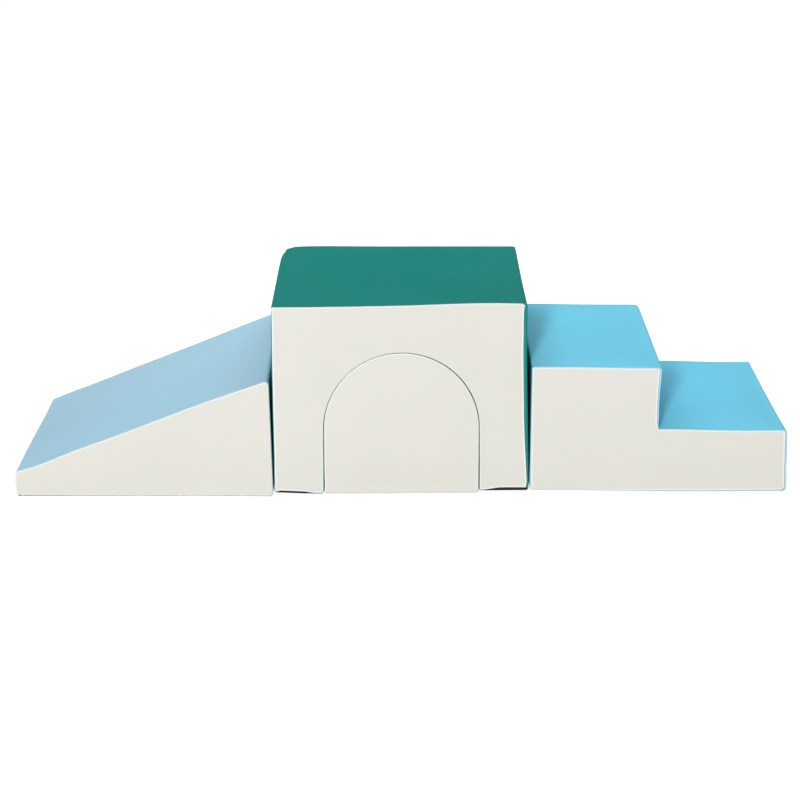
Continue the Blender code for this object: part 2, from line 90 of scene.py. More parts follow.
# Sampling, merging and smoothing of the meshes
CORNER_CELLS = 10
SEAM_CELL = 0.006
OPEN_CELL = 0.010
SEAM_ROLL = 0.0016
ROLL_STEPS = 4
ROLL_ROWS = SEAM_ROLL * (1 - np.cos(np.linspace(0, math.pi / 2, ROLL_STEPS + 1)))
SIDE_ROWS = np.array([0.0028, 0.0042, 0.0058, 0.0078, 0.0102, 0.0130, 0.0165])
EDGE_ROWS = np.concatenate([ROLL_ROWS, SIDE_ROWS])
CLOSEST_SHARE = 0.98
LEAST_SPACING = 0.0006
NEAREST_BATCH = 2000
TINY = 1e-15
INSIDE_ONLY = 1
PANEL_MERGE = 1e-7
CAD_MERGE = 1e-6
SMOOTH_ANGLE = 40

# Sizes that all covers share
COVER_THICKNESS = 0.0010
SEAM_GAP = 0.0004
SEAM_TO_EDGE = 0.0014
RIM_RADIUS = 0.004
RIM_STRETCH = RIM_RADIUS * (math.pi / 2 - 1)
FOOT_RADIUS = 0.008
SWELL = 0.0045  # most that the foam lifts a cover
SWELL_REACH = 0.055  # how fast the lift grows away from a seam
SEAM_WOBBLE = 0.0003
SEAM_WAVES = (0.21, 0.13, 0.077)
# Reach of the seam nearness behind the painted groove shade and painted edge highlight
SEAM_SHADE_REACH = 0.0022
FACE_OVER = -0.0024  # from the rim's middle to the seam, minus towards the sides
PUCKER = 0.00035
PUCKER_WAVES = (0.050, 0.031, 0.019)
PUCKER_REACH = 0.014
PUCKER_START = 0.002
FOLD_SHARE = 1.5
WAVE_STEP = 1.7

# Cloth simulation of the covers
SIMULATED_CELL = 0.014
CLOTH_QUALITY = 4
PRESSURE = 4.0
SLACK = 0.002  # share by which the cloth is cut larger
SWELL_FRAMES = 20
HOLD_REACH = 0.012  # the form is held this near to its edges
FULL_PERCENTILE = 80
SWELL_NEIGHBOURS = 8
SWELL_BLEND = 0.012

# Sizes of single blocks that their boxes don't give
ARCH_LEAN = 0.002
ARCH_RIGHT_RADIUS = 0.0075
ARCH_LEFT_RADIUS = 0.0045
TUNNEL_RADIUS = 0.1855
TUNNEL_TOP = 0.346
INSERT_GAP = 0.0003
RAMP_LIP = 0.064
RAMP_LEAN = 0.007
RAMP_TOP_RADIUS = 0.009
RAMP_LIP_RADIUS = 0.010
RAMP_FOOT_RADIUS = 0.0045
STEP_HEIGHT = 0.153
STEP_DEPTH = 0.306
STAIRS_LEAN = 0.005
NOSE_RADIUS = 0.0055
INNER_RADIUS = 0.005
BASE_BORDER = 0.012
BASE_RISE = 0.0045

# Zips
ZIP_CORNER = 0.0015
ZIP_ROWS = np.concatenate([ROLL_ROWS, SIDE_ROWS[:4]])
CHAIN_RISE = 0.0015
CHAIN_MARGIN = 0.008
TAPE_THICKNESS = 0.0006
TAPE_UNDER = 0.0010
TAPE_DIP = 0.0016
TAPE_SLOPE = 0.0028
TAPE_GROOVE = 0.0004
GROOVE_HALF = 0.0003
TAPE_ACROSS = np.array([-9.0, -8.2, -7.4, -6.6, -5.8, -5.0, -3.0, -0.5, -0.2, 0.0]) / 1000
TAPE_STEP = 0.0008
TAPE_RUN = 0.010
TOOTH_PITCH = 0.0032
TOOTH_SIZE = (0.0015, 0.0027, 0.0012)
TOOTH_BEVEL = 0.0003
TOOTH_SIDE = 0.0015
TOOTH_SINK = 0.0001
STOP_SIZE = (0.0030, 0.0052, 0.0013)
STOP_BEVEL = 0.0004
STOP_SPOT = 0.0058

# Stitches, hooks and loops
STITCH_PITCH = 0.0046
STITCH_SIZE = (0.0033, 0.0008, 0.0006)
STITCH_AWAY = 0.0045
STITCH_CORNER = 0.005
RAY_HEIGHT = 0.1
STRIP_BASE = 0.0006
STRIP_BORDER = 0.0028
STRIP_CORNER = 0.008
FIELD_BORDER = 0.0052
HOOK_PITCH = 0.0030
HOOK_STEM = {"radius1": 0.00032, "radius2": 0.00020, "depth": 0.00040, "location": (0, 0, 0.00018)}
HOOK_HEAD = {"radius1": 0.00044, "radius2": 0.00016, "depth": 0.00018, "location": (0, 0, 0.00045)}
LOOP_PITCH = 0.0031
LOOP_RADIUS = 0.00042
LOOP_THREAD = 0.00013
LOOP_SPREAD = 0.0007
LOOP_SEED = 11

# Foam
FOAM_SHRINK = 0.0050
FOAM_CUTS = 7

Corner = namedtuple("Corner", "x z radius edge")
Dent = namedtuple("Dent", "place reach push")
Wrap = namedtuple("Wrap", "node_name slot edges past_start past_end", defaults=(0.0, 0.0))
Speckled = namedtuple("Speckled", "slot colour cells evenness rise roughness")


def unit(vector):
    """A vector of the outline plane at length one."""
    return np.asarray(vector) / np.hypot(*vector)


def smooth_step(share):
    """0 to 1 with a soft start and a soft end."""
    share = np.clip(share, 0, 1)
    return share * share * (3 - 2 * share)


def wave(along, total, lengths, seed):
    """Unevenness along a closed line, from -1 to 1: sines that meet again after one round."""
    value = np.zeros_like(along)
    for index, length in enumerate(lengths):
        turns = max(1, round(total / length))
        value += np.sin(math.tau * turns * along / total + seed + index * WAVE_STEP)
    return value / len(lengths)


def fade_in(distance, reach):
    """0 at an edge, and towards 1 away from it."""
    return 1 - np.exp(-distance / reach)


def roll_depth(distance):
    """How deep a panel's rolled edge lies at a distance from its seam."""
    share = 1 - np.clip(distance / SEAM_ROLL, 0, 1)
    return SEAM_ROLL * (1 - np.sqrt(1 - share * share))


class Outline:
    """A block's closed outline seen from the front, anticlockwise, with rounded corners.

    Each edge runs from the middle of its own corner to the middle of the next. Places along
    the outline are lengths from the middle of the first corner.
    """

    def __init__(self, corners):
        rows = []
        middles = []
        for index, corner in enumerate(corners):
            here = np.array((corner.x, corner.z))
            before = unit(np.array(corners[index - 1][:2]) - here)
            after = unit(np.array(corners[(index + 1) % len(corners)][:2]) - here)
            opening = math.acos(np.clip(before @ after, -1, 1))
            turn = math.pi - opening
            side = -1 if before[0] * after[1] > before[1] * after[0] else 1
            centre = here + unit(before + after) * corner.radius / math.sin(opening / 2)
            cells = 2 * math.ceil(max(CORNER_CELLS, corner.radius * turn / SEAM_CELL) / 2)
            for cell in range(cells + 1):
                angle = side * turn * cell / cells
                out = np.array((
                    -before[1] * math.cos(angle) - before[0] * math.sin(angle),
                    before[0] * math.cos(angle) - before[1] * math.sin(angle),
                ))
                rows.append((*(centre + side * out * corner.radius), *out))
                if cell == cells // 2:
                    middles.append(len(rows) - 1)
        table = np.roll(np.array(rows), -middles[0], axis=0)
        self.table = np.vstack([table, table[:1]])
        steps = np.hypot(*np.diff(self.table[:, :2], axis=0).T)
        self.marks = np.concatenate([[0], np.cumsum(steps)])
        self.length = self.marks[-1]
        ends = [self.marks[middle - middles[0]] for middle in middles] + [self.length]
        self.spans = {corner.edge: (ends[k], ends[k + 1]) for k, corner in enumerate(corners)}
        tight = [corner.radius < TUNNEL_RADIUS / 2 for corner in corners]
        self.folds = [ends[k] for k in range(len(corners)) if tight[k]]

    def at(self, along):
        """Points and outward directions at places along the outline."""
        along = np.mod(along, self.length)
        x, z, out_x, out_z = (np.interp(along, self.marks, column) for column in self.table.T)
        size = np.hypot(out_x, out_z)
        return np.stack([x, z], -1), np.stack([out_x / size, out_z / size], -1)

    def stations(self, start, end, step):
        """Places between two ends: on the points of the round corners, and a step apart."""
        marks = np.concatenate([self.marks, self.marks[1:] + self.length])
        marks = marks[(marks > start + LEAST_SPACING) & (marks < end - LEAST_SPACING)]
        marks = np.concatenate([[start], marks, [end]])
        found = []
        for low, high in zip(marks[:-1], marks[1:]):
            if high - low > LEAST_SPACING / 2:
                count = max(1, round((high - low) / step))
                found.extend(np.linspace(low, high, count, endpoint=False))
        return np.array([*found, end])

    def nearest(self, points, span=None):
        """Place along the outline nearest to each point, and how far away it is."""
        low, high = span or (0, self.length)
        middle = (self.marks[:-1] + self.marks[1:]) / 2
        keep = np.flatnonzero((middle > low) & (middle < high))
        start = self.table[keep, :2]
        run = self.table[keep + 1, :2] - start
        size = np.maximum((run ** 2).sum(1), TINY)
        along = np.empty(len(points))
        distance = np.empty(len(points))
        for first in range(0, len(points), NEAREST_BATCH):
            batch = slice(first, first + NEAREST_BATCH)
            gap = points[batch][:, None] - start[None]
            share = np.clip((gap * run).sum(2) / size, 0, 1)
            away = np.linalg.norm(gap - share[..., None] * run, axis=2)
            best = away.argmin(1)
            rows = np.arange(len(best))
            along[batch] = self.marks[keep][best] + share[rows, best] * np.sqrt(size[best])
            distance[batch] = away[rows, best]
        return along, distance

    def depth_of(self, points):
        """Place along the outline nearest to each point, and how deep inside it lies."""
        along, distance = self.nearest(points)
        edge, out = self.at(along)
        inside = ((edge - points) * out).sum(1)
        return along, np.where(inside > 0, distance, -distance)


class Cover:
    """The covered form of one block, on which all its panels lie.

    A place on it is a length along the outline and a distance across: from the middle of
    the depth, round the rim and on over the face, minus towards the front. The block's depth
    comes from its band, which ends at the seams. The steps of the front seam are marks along
    an edge, from 0 to 1, each with how far past the middle of the rim the seam runs there.
    """

    def __init__(self, name, corners, band, pressed, front_steps, seed):
        low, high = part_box(band)
        front, back = low[1] - SEAM_TO_EDGE, high[1] + SEAM_TO_EDGE
        self.name = name
        self.outline = Outline(corners)
        self.middle = (front + back) / 2
        self.flat = (back - front) / 2 - RIM_RADIUS
        self.pressed = pressed
        self.front_steps = front_steps
        self.seed = seed
        self.zip_box = zip_box(f"{name}_zip_tape")
        self.swelling = None
        self.ease = SWELL_REACH

    def seam(self, along, side):
        """Distance across at which the seam between the wrap and one face runs."""
        shift = np.full_like(along, FACE_OVER)
        edge_steps = self.front_steps if side < 0 else {}
        for edge, steps in edge_steps.items():
            start, end = self.outline.spans[edge]
            share = (np.mod(along, self.outline.length) - start) / (end - start)
            amount = np.interp(share, *zip(*steps))
            shift = np.where((share >= 0) & (share <= 1), amount, shift)
        wobble = SEAM_WOBBLE * wave(along, self.outline.length, SEAM_WAVES, self.seed + side)
        return self.flat + RIM_RADIUS * math.pi / 4 + shift + wobble

    def front_seam(self, along):
        """Distance across of the seam with the front panel."""
        return -self.seam(along, -1)

    def back_seam(self, along):
        """Distance across of the seam with the back panel."""
        return self.seam(along, 1)

    def place(self, along, across):
        """Points and outward directions on the bare form, and the form laid out flat."""
        edge, out = self.outline.at(along)
        side = np.sign(across)
        past = np.maximum(np.abs(across) - self.flat, 0)
        angle = np.minimum(past / RIM_RADIUS, math.pi / 2)
        inset = RIM_RADIUS * (1 - np.cos(angle)) + np.maximum(past - RIM_RADIUS * math.pi / 2, 0)
        spot = edge - out * inset[:, None]
        reach = np.minimum(np.abs(across), self.flat) + RIM_RADIUS * np.sin(angle)
        points = np.stack([spot[:, 0], self.middle + side * reach, spot[:, 1]], -1)
        flat_out = out * np.cos(angle)[:, None]
        normals = np.stack([flat_out[:, 0], side * np.sin(angle), flat_out[:, 1]], -1)
        return points, normals, edge - out * (past - RIM_STRETCH)[:, None]

    def is_pressed(self, along):
        """Whether each place along the outline presses against a neighbour or the floor."""
        along = np.mod(along, self.outline.length)
        found = np.zeros(len(along), bool)
        for edge in self.pressed:
            start, end = self.outline.spans[edge]
            found |= (along >= start) & (along <= end)
        return found

    def puckers(self, along, distance):
        """Small gathers that run in from the seams, and stop short of the block's corners."""
        fade = np.exp(-distance / PUCKER_REACH) * fade_in(distance, PUCKER_START)
        half = self.outline.length / 2
        for fold in self.outline.folds:
            away = np.abs(np.mod(along - fold + half, self.outline.length) - half)
            fade = fade * smooth_step((away - FOLD_SHARE * distance) / PUCKER_REACH)
        return PUCKER * fade * wave(along, self.outline.length, PUCKER_WAVES, self.seed)

    def rise(self, points, normals):
        """How far the foam lifts the cover at places away from the seams."""
        if self.swelling is None:
            return np.full(len(points), SWELL)
        tree, moves = self.swelling
        lift = np.empty(len(points))
        for index, (point, normal) in enumerate(zip(points, normals)):
            near = tree.find_n(Vector(point), SWELL_NEIGHBOURS)
            weights = np.exp([-(item[2] / SWELL_BLEND) ** 2 for item in near])
            move = weights @ moves[[item[1] for item in near]] / weights.sum()
            lift[index] = move @ normal
        return lift

    def simulate(self):
        """Swell a coarse copy of the whole cover, held at its edges, with a cloth simulation."""
        form = coarse_form(self)
        rest = np.array([vert.co[:] for vert in form.data.vertices])
        along, depth = self.outline.depth_of(rest[:, [0, 2]])
        to_rim = self.flat + RIM_RADIUS - np.abs(rest[:, 1] - self.middle)
        folds = (*self.outline.folds, self.outline.length)
        to_fold = np.min([np.abs(along - fold) for fold in folds], axis=0)
        held = np.maximum(depth, np.minimum(to_rim, to_fold)) < HOLD_REACH
        group = form.vertex_groups.new(name="held")
        group.add(np.flatnonzero(held).tolist(), 1.0, "REPLACE")
        cloth = form.modifiers.new("Cloth", "CLOTH").settings
        cloth.quality = CLOTH_QUALITY
        cloth.vertex_group_mass = "held"
        cloth.use_pressure = True
        cloth.uniform_pressure_force = PRESSURE
        cloth.shrink_min = -SLACK
        cloth.effector_weights.gravity = 0
        scene = bpy.context.scene
        for frame_number in range(1, SWELL_FRAMES + 1):
            scene.frame_set(frame_number)
        swollen = form.evaluated_get(bpy.context.evaluated_depsgraph_get())
        moves = np.array([vert.co[:] for vert in swollen.data.vertices]) - rest
        scene.frame_set(1)
        size = np.maximum(np.linalg.norm(moves, axis=1), TINY)
        capped = SWELL * np.tanh(size / np.percentile(size, FULL_PERCENTILE))
        moves *= (capped / size)[:, None]
        tree = KDTree(len(rest))
        for index, place in enumerate(rest):
            tree.insert(place, index)
        tree.balance()
        bpy.data.objects.remove(form)
        self.swelling = (tree, moves)
        self.ease = HOLD_REACH

    def face_panel(self, side):
        """Points, faces and seam distances of the front (-1) or back (1) panel."""
        outline = self.outline
        rim = outline.stations(0, outline.length, SEAM_CELL)[:-1]
        along = np.tile(rim, len(EDGE_ROWS))
        distance = np.repeat(EDGE_ROWS, len(rim))
        across = self.seam(along, side) + SEAM_GAP / 2 + distance
        points, normals, laid = self.place(along, side * across)
        past = across - self.flat - RIM_STRETCH
        clear = outline.nearest(laid)[1] > CLOSEST_SHARE * past
        spread = np.linalg.norm(laid - np.roll(laid, 1, axis=0), axis=1)
        keep = (distance == 0) | (clear & (spread > LEAST_SPACING))
        last_row = past[-len(rim):].max() + OPEN_CELL / 3
        parts = [[item[keep] for item in (along, distance, points, normals, laid)]]
        edges = ring_edges(0, len(rim))

        grid = hex_grid(outline.table[:, :2].min(0), outline.table[:, :2].max(0), OPEN_CELL)
        nearest, depth = outline.depth_of(grid)
        inner = depth > last_row
        if side > 0:
            inner &= box_distance(grid, self.zip_box) > ZIP_ROWS[-1] + OPEN_CELL / 2
        grid, nearest, depth = grid[inner], nearest[inner], depth[inner]
        distance = depth + self.flat + RIM_STRETCH - self.seam(nearest, side) - SEAM_GAP / 2
        parts.append(self.on_face(grid, nearest, distance, side))
        hole = range(0)
        if side > 0:
            ring = box_rings(self.zip_box, ZIP_ROWS, ZIP_CORNER, SEAM_CELL)
            parts.append(self.on_face(ring, *outline.depth_of(ring), side))
            start = keep.sum() + len(grid)
            hole = range(start, start + len(ring) // len(ZIP_ROWS))
            edges += ring_edges(hole.start, hole.stop)
        along, distance, points, normals, laid = (np.concatenate(items) for items in zip(*parts))
        places = [Vector(place) for place in laid]
        found = delaunay_2d_cdt(places, edges, [], INSIDE_ONLY, PANEL_MERGE)
        origin = [items[0] for items in found[3]]
        faces = [[origin[corner] for corner in face] for face in found[2]]
        faces = [face for face in faces if not all(corner in hole for corner in face)]
        if side > 0:
            faces = [face[::-1] for face in faces]

        lift = self.rise(points, normals)
        flat_points = points[:, [0, 2]]
        for span in outline.spans.values():
            away = outline.nearest(flat_points, span)[1]
            lift *= fade_in(np.maximum(away - SEAM_TO_EDGE, 0), self.ease)
        lift += self.puckers(along, distance)
        if side > 0:
            away = np.maximum(box_distance(flat_points, self.zip_box), 0)
            lift *= fade_in(away, SWELL_REACH)
            distance = np.minimum(distance, away)
        lift -= roll_depth(distance)
        return points + normals * lift[:, None], faces, distance

    def on_face(self, spots, along, distance, side):
        """Places in the flat of a face, in the form that its rim's places have."""
        points = np.insert(spots, 1, self.middle + side * (self.flat + RIM_RADIUS), axis=1)
        normals = np.tile((0.0, side, 0.0), (len(spots), 1))
        return along, distance, points, normals, spots

    def wrap_panel(self, start, end, front, back):
        """A panel round the sides of a block, between two places and two seams."""
        first, last = start + SEAM_GAP / 2, end - SEAM_GAP / 2
        reach = EDGE_ROWS[-1]
        inner = self.outline.stations(first + reach, last - reach, SEAM_CELL)
        line = np.concatenate([first + EDGE_ROWS[:-1], inner, (last - EDGE_ROWS[:-1])[::-1]])
        low, high = front(line) + SEAM_GAP / 2, back(line) - SEAM_GAP / 2
        near = EDGE_ROWS[EDGE_ROWS < (high - low).min() / 2 - LEAST_SPACING]
        cells = max(1, round(((high - low).max() - 2 * near[-1]) / OPEN_CELL))
        shares = np.linspace(0, 1, cells + 1)[1:-1]
        rows = [low + row for row in near]
        rows += [low + near[-1] + (high - low - 2 * near[-1]) * share for share in shares]
        rows += [high - row for row in near[::-1]]
        across = np.array(rows).T
        along = np.repeat(line, len(rows))
        points, normals, _ = self.place(along, across.ravel())

        to_front = (across - low[:, None]).ravel()
        to_back = (high[:, None] - across).ravel()
        distance = np.minimum.reduce([to_front, to_back, along - first, last - along])
        lift = self.rise(points, normals) * fade_in(to_front, self.ease) * fade_in(to_back, self.ease)
        for fold in self.outline.folds:
            for round_trip in (0, self.outline.length):
                lift *= fade_in(np.abs(along - fold - round_trip), self.ease)
        gathers = self.puckers(along, distance)
        lift = np.where(self.is_pressed(along), -np.abs(gathers), lift + gathers)
        lift -= roll_depth(distance)
        return points + normals * lift[:, None], grid_faces(len(line), len(rows)), distance


def ring_edges(start, end):
    """Edges that join a run of points into a closed ring."""
    return [(index, index + 1) for index in range(start, end - 1)] + [(end - 1, start)]


def grid_faces(rows, columns):
    """Faces over a grid of points that are stored row after row."""
    return [
        (i * columns + j, i * columns + j + 1, (i + 1) * columns + j + 1, (i + 1) * columns + j)
        for i in range(rows - 1) for j in range(columns - 1)
    ]


def linked(name, data):
    """A new object in the scene for a mesh, lamp or camera."""
    made = bpy.data.objects.new(name, data)
    bpy.context.scene.collection.objects.link(made)
    return made


def select_only(made):
    """Make one object the only selected one, and the active one."""
    bpy.ops.object.select_all(action="DESELECT")
    made.select_set(True)
    bpy.context.view_layer.objects.active = made


def apply_modifiers(made):
    """Apply all modifiers of one object."""
    select_only(made)
    for modifier in list(made.modifiers):
        bpy.ops.object.modifier_apply(modifier=modifier.name)


def coarse_form(cover):
    """A closed even mesh of a block's form, coarse enough to simulate."""
    count = len(cover.outline.table) - 1
    ring = cover.outline.table[:count, :2]
    reach = cover.flat + RIM_RADIUS
    points = [(x, cover.middle + side * reach, z) for side in (-1, 1) for x, z in ring]
    faces = [tuple(range(count)), tuple(range(2 * count - 1, count - 1, -1))]
    faces += [(k, k + count, (k + 1) % count + count, (k + 1) % count) for k in range(count)]
    mesh = bpy.data.meshes.new("coarse_form")
    mesh.from_pydata(points, [], faces)
    made = linked("coarse_form", mesh)
    remesh = made.modifiers.new("Even", "REMESH")
    remesh.mode = "VOXEL"
    remesh.voxel_size = SIMULATED_CELL
    apply_modifiers(made)
    return made


def hex_grid(low, high, cell):
    """Evenly spread points over a rectangle, every other row set over by half a cell."""
    rows = []
    height = cell * math.sqrt(3) / 2
    for index in range(math.ceil((high[1] - low[1]) / height)):
        x = np.arange(low[0] + (index % 2) * cell / 2, high[0], cell)
        rows.append(np.stack([x, np.full(len(x), low[1] + index * height)], -1))
    return np.concatenate(rows)


def box_distance(points, box):
    """Distance of points from a rectangle (low x, low z, high x, high z), minus inside it."""
    low, high = np.array(box[:2]), np.array(box[2:])
    away = np.maximum(low - points, points - high)
    outside = np.hypot(*np.maximum(away, 0).T)
    return outside + np.minimum(away.max(1), 0)


def box_outline(box, corner):
    """Outline of a rectangle (low, low, high, high) with rounded corners."""
    low_x, low_z, high_x, high_z = box
    return Outline((
        Corner(low_x, low_z, corner, "low"),
        Corner(high_x, low_z, corner, "right"),
        Corner(high_x, high_z, corner, "high"),
        Corner(low_x, high_z, corner, "left"),
    ))


def box_rings(box, rows, corner, step):
    """Rings of points round a rectangle with rounded corners, from the inside out."""
    ring = box_outline(box, corner)
    along = ring.stations(0, ring.length, step)[:-1]
    spots, out = ring.at(along)
    return np.concatenate([spots + out * row for row in rows])


# Soft unevenness of the foam, the same for all pieces so that neighbours stay clear. Each
# wave has its radians per metre along x, y and z, and its start.
FIELD_WAVES = ((9.1, 4.7, 3.9, 0.4), (-5.3, 7.9, 8.3, 2.1), (13.7, -6.1, 5.9, 4.4))
FIELD_DEPTH = 0.0007
STILL_BACK = 0.22
STILL_FLOOR = 0.10
BACK_EASE = 0.20

# Sides of the arch block, and of the blocks beside it
ARCH_SIDE = 0.3058
NEXT_SIDE = 0.3066
HALF_DEPTH = 0.305

# How far the blocks lean to the right at the top, by their places along the row
LEAN_MARKS = (-NEXT_SIDE, -ARCH_SIDE, -0.24, 0.24, ARCH_SIDE, NEXT_SIDE, 0.61)
LEAN_FRONT = (0.0, -0.0036, 0.0, 0.0, -0.0060, -0.0022, 0.0)
LEAN_BACK = (0.0, 0.0032, 0.0, 0.0, -0.0034, 0.0, 0.0)
LEAN_HEIGHT = 0.38

# How far their fronts stand forward at the foot, and half as far at the top
TURN_MARKS = (
    -0.92, -0.50, -NEXT_SIDE, -ARCH_SIDE, -0.19, 0.19, ARCH_SIDE, NEXT_SIDE, 0.42, 0.60, 0.92
)
TURN_FORWARD = (0.0, 0.005, 0.014, 0.010, 0.009, -0.010, -0.006, -0.008, -0.004, 0.007, 0.011)
TURN_HEIGHT = 0.40
TURN_EASE = (0.10, 0.40)
INSERT_FORWARD = 0.008
INSERT_HEIGHT = 0.30

# Places where the foam is pushed out of shape, each with its middle, reach and push: edges,
# then the arch block's front feet, then single corners
FLOOR_EASE = 0.03
DENTS = (
    Dent((0.0, 0.305, 0.463), (0.400, 0.120, 0.060), (0.0, 0.0, 0.002)),
    Dent((-0.303, 0.305, 0.463), (0.024, 0.070, 0.045), (0.0082, -0.002, -0.0048)),
    Dent((-0.200, 0.305, 0.463), (0.100, 0.120, 0.060), (0.0, 0.0, 0.0016)),
    Dent((0.190, -0.305, 0.463), (0.120, 0.080, 0.050), (0.0, 0.0, 0.003)),
    Dent((-0.060, -0.305, 0.463), (0.140, 0.080, 0.050), (0.0, 0.0, -0.0022)),
    Dent((-0.870, -0.320, 0.080), (0.070, 0.160, 0.080), (0.0, 0.0, -0.005)),
    Dent((-0.760, -0.320, 0.110), (0.190, 0.160, 0.090), (0.0, 0.0, -0.001)),
    Dent((-0.919, -0.320, 0.035), (0.030, 0.200, 0.050), (-0.004, 0.0, 0.0)),
    Dent((-0.830, 0.290, 0.110), (0.130, 0.200, 0.080), (0.0, 0.0, -0.0045)),
    Dent((-0.919, 0.290, 0.070), (0.050, 0.350, 0.035), (0.011, 0.0, 0.0)),
    Dent((-0.330, 0.290, 0.290), (0.300, 0.250, 0.100), (0.0, 0.0, 0.0085)),
    Dent((0.330, 0.310, 0.307), (0.130, 0.200, 0.080), (0.0, 0.0, 0.003)),
    Dent((0.614, -0.310, 0.312), (0.030, 0.300, 0.050), (0.005, 0.0, 0.001)),
    Dent((0.860, 0.310, 0.153), (0.120, 0.200, 0.060), (0.0, 0.0, -0.002)),
    Dent((0.700, 0.310, 0.153), (0.090, 0.200, 0.060), (0.0, 0.0, 0.0020)),
    Dent((0.900, -0.310, 0.153), (0.150, 0.200, 0.060), (0.0, 0.0, -0.003)),
    Dent((0.918, 0.200, 0.153), (0.060, 0.350, 0.080), (-0.002, 0.0, 0.0)),
    Dent((0.918, -0.310, 0.070), (0.050, 0.120, 0.120), (0.0034, 0.0, 0.0)),
    Dent((0.640, -0.300, 0.153), (0.120, 0.120, 0.060), (0.0, 0.0, 0.004)),
    Dent((0.640, 0.310, 0.307), (0.120, 0.400, 0.120), (0.008, 0.0, 0.0)),
)
FOOT_LIFTS = (
    Dent((-0.303, -0.305, 0.0), (0.050, 0.090, 0.030), (0.0, 0.0, 0.003)),
    Dent((0.303, -0.305, 0.0), (0.060, 0.110, 0.030), (0.0, 0.0, 0.0015)),
)
BLUNT_CORNERS = (
    Dent((0.918, -0.310, 0.0), (0.060, 0.200, 0.060), (0.0045, 0.0, 0.0)),
    Dent((0.614, 0.310, 0.307), (0.030, 0.060, 0.040), (-0.001, -0.001, -0.002)),
)


def settled(points):
    """Points moved as the soft foam has settled."""
    points = np.array(points)
    x, y, z = points.T
    swing = np.zeros(len(points))
    for along_x, along_y, along_z, start in FIELD_WAVES:
        swing += np.sin(along_x * x + along_y * y + along_z * z + start)
    swing *= FIELD_DEPTH
    ease = smooth_step((STILL_BACK - y) / BACK_EASE)
    moved = points.copy()
    back = np.clip((y + HALF_DEPTH) / HALF_DEPTH / 2, 0, 1)
    front_lean, back_lean = (np.interp(x, LEAN_MARKS, lean) for lean in (LEAN_FRONT, LEAN_BACK))
    moved[:, 0] += (front_lean * (1 - back) + back_lean * back) * smooth_step(z / LEAN_HEIGHT)
    tunnel = np.hypot(x, np.maximum(z - TUNNEL_TOP + TUNNEL_RADIUS, 0)) - TUNNEL_RADIUS
    forward = np.interp(x, TURN_MARKS, TURN_FORWARD) * (1 - smooth_step(z / TURN_HEIGHT) / 2)
    insert = INSERT_FORWARD * (1 - smooth_step(z / INSERT_HEIGHT))
    forward = np.where(tunnel < -INSERT_GAP / 2, insert, forward)
    moved[:, 1] += swing * ease - forward * smooth_step((TURN_EASE[0] - y) / TURN_EASE[1])
    lift = swing * smooth_step(z / STILL_FLOOR) * smooth_step(tunnel / STILL_FLOOR)
    moved[:, 2] += lift * ease
    above_floor, on_arch = smooth_step(z / FLOOR_EASE), np.abs(x) < ARCH_SIDE
    for dents, strength in ((DENTS, above_floor), (FOOT_LIFTS, on_arch)):
        for dent in dents:
            share = np.exp(-(((points - dent.place) / dent.reach) ** 2).sum(1))
            moved += (share * strength)[:, None] * dent.push
    for dent in BLUNT_CORNERS:
        away = np.linalg.norm((points - dent.place) / dent.reach, axis=1)
        moved += (np.maximum(1 - away, 0) ** 2)[:, None] * dent.push
    moved[:, 2] = np.maximum(moved[:, 2], 0)
    return moved


def sheet_object(name, points, faces, distance, finish, thickness=COVER_THICKNESS):
    """A panel of cover cloth as a finished piece: a closed sheet with its own thickness."""
    mesh = bpy.data.meshes.new(name)
    mesh.from_pydata(settled(points).tolist(), [], faces)
    # Nearness to a seam, which the vinyl finishes turn into painted groove shade and a painted edge
    # highlight
    seam = mesh.attributes.new("seam", "FLOAT", "POINT")
    seam.data.foreach_set("value", np.exp(-distance / SEAM_SHADE_REACH).astype(np.float32))
    mesh.materials.append(finish)
    mesh.shade_smooth()
    made = linked(name, mesh)
    wall = made.modifiers.new("Thickness", "SOLIDIFY")
    wall.thickness = thickness
    wall.offset = -1
    apply_modifiers(made)
    return made


def copied(name, source, points, tangents, normals, finish):
    """One object made of copies of a small mesh, with its X along tangents and Z along normals."""
    points, tangents, normals = np.broadcast_arrays(points, tangents, normals)
    shape = np.array([vert.co[:] for vert in source.data.vertices])
    turns = np.stack([tangents, np.cross(normals, tangents), normals], -1)
    placed = np.einsum("nij,vj->nvi", turns, shape) + points[:, None]
    faces = [
        tuple(corner + copy * len(shape) for corner in face.vertices)
        for copy in range(len(points)) for face in source.data.polygons
    ]
    mesh = bpy.data.meshes.new(name)
    mesh.from_pydata(placed.reshape(-1, 3).tolist(), [], faces)
    mesh.materials.append(finish)
    made = linked(name, mesh)
    select_only(made)
    bpy.ops.object.shade_smooth_by_angle(angle=math.radians(SMOOTH_ANGLE))
    return made


def laid_on(panel, points, direction):
    """Where rays from the points along one direction meet a panel, and its normals there."""
    tree = BVHTree.FromObject(panel, bpy.context.evaluated_depsgraph_get())
    hits = [tree.ray_cast(Vector(point), Vector(direction)) for point in points]
    return np.array([hit[0][:] for hit in hits]), np.array([hit[1][:] for hit in hits])


def rounded_block(size, bevel, segments=1):
    """A small block with bevelled edges, standing on the origin."""
    bpy.ops.object.select_all(action="DESELECT")
    bpy.ops.mesh.primitive_cube_add(size=1, location=(0, 0, 0.5))
    made = bpy.context.object
    bpy.ops.object.mode_set(mode="EDIT")
    bpy.ops.mesh.select_all(action="SELECT")
    bpy.ops.transform.translate(value=(0, 0, 0.5))
    bpy.ops.transform.resize(value=size, center_override=(0, 0, 0))
    bpy.ops.mesh.bevel(offset=bevel, segments=segments)
    bpy.ops.object.mode_set(mode="OBJECT")
    made.location = (0, 0, 0)
    return made


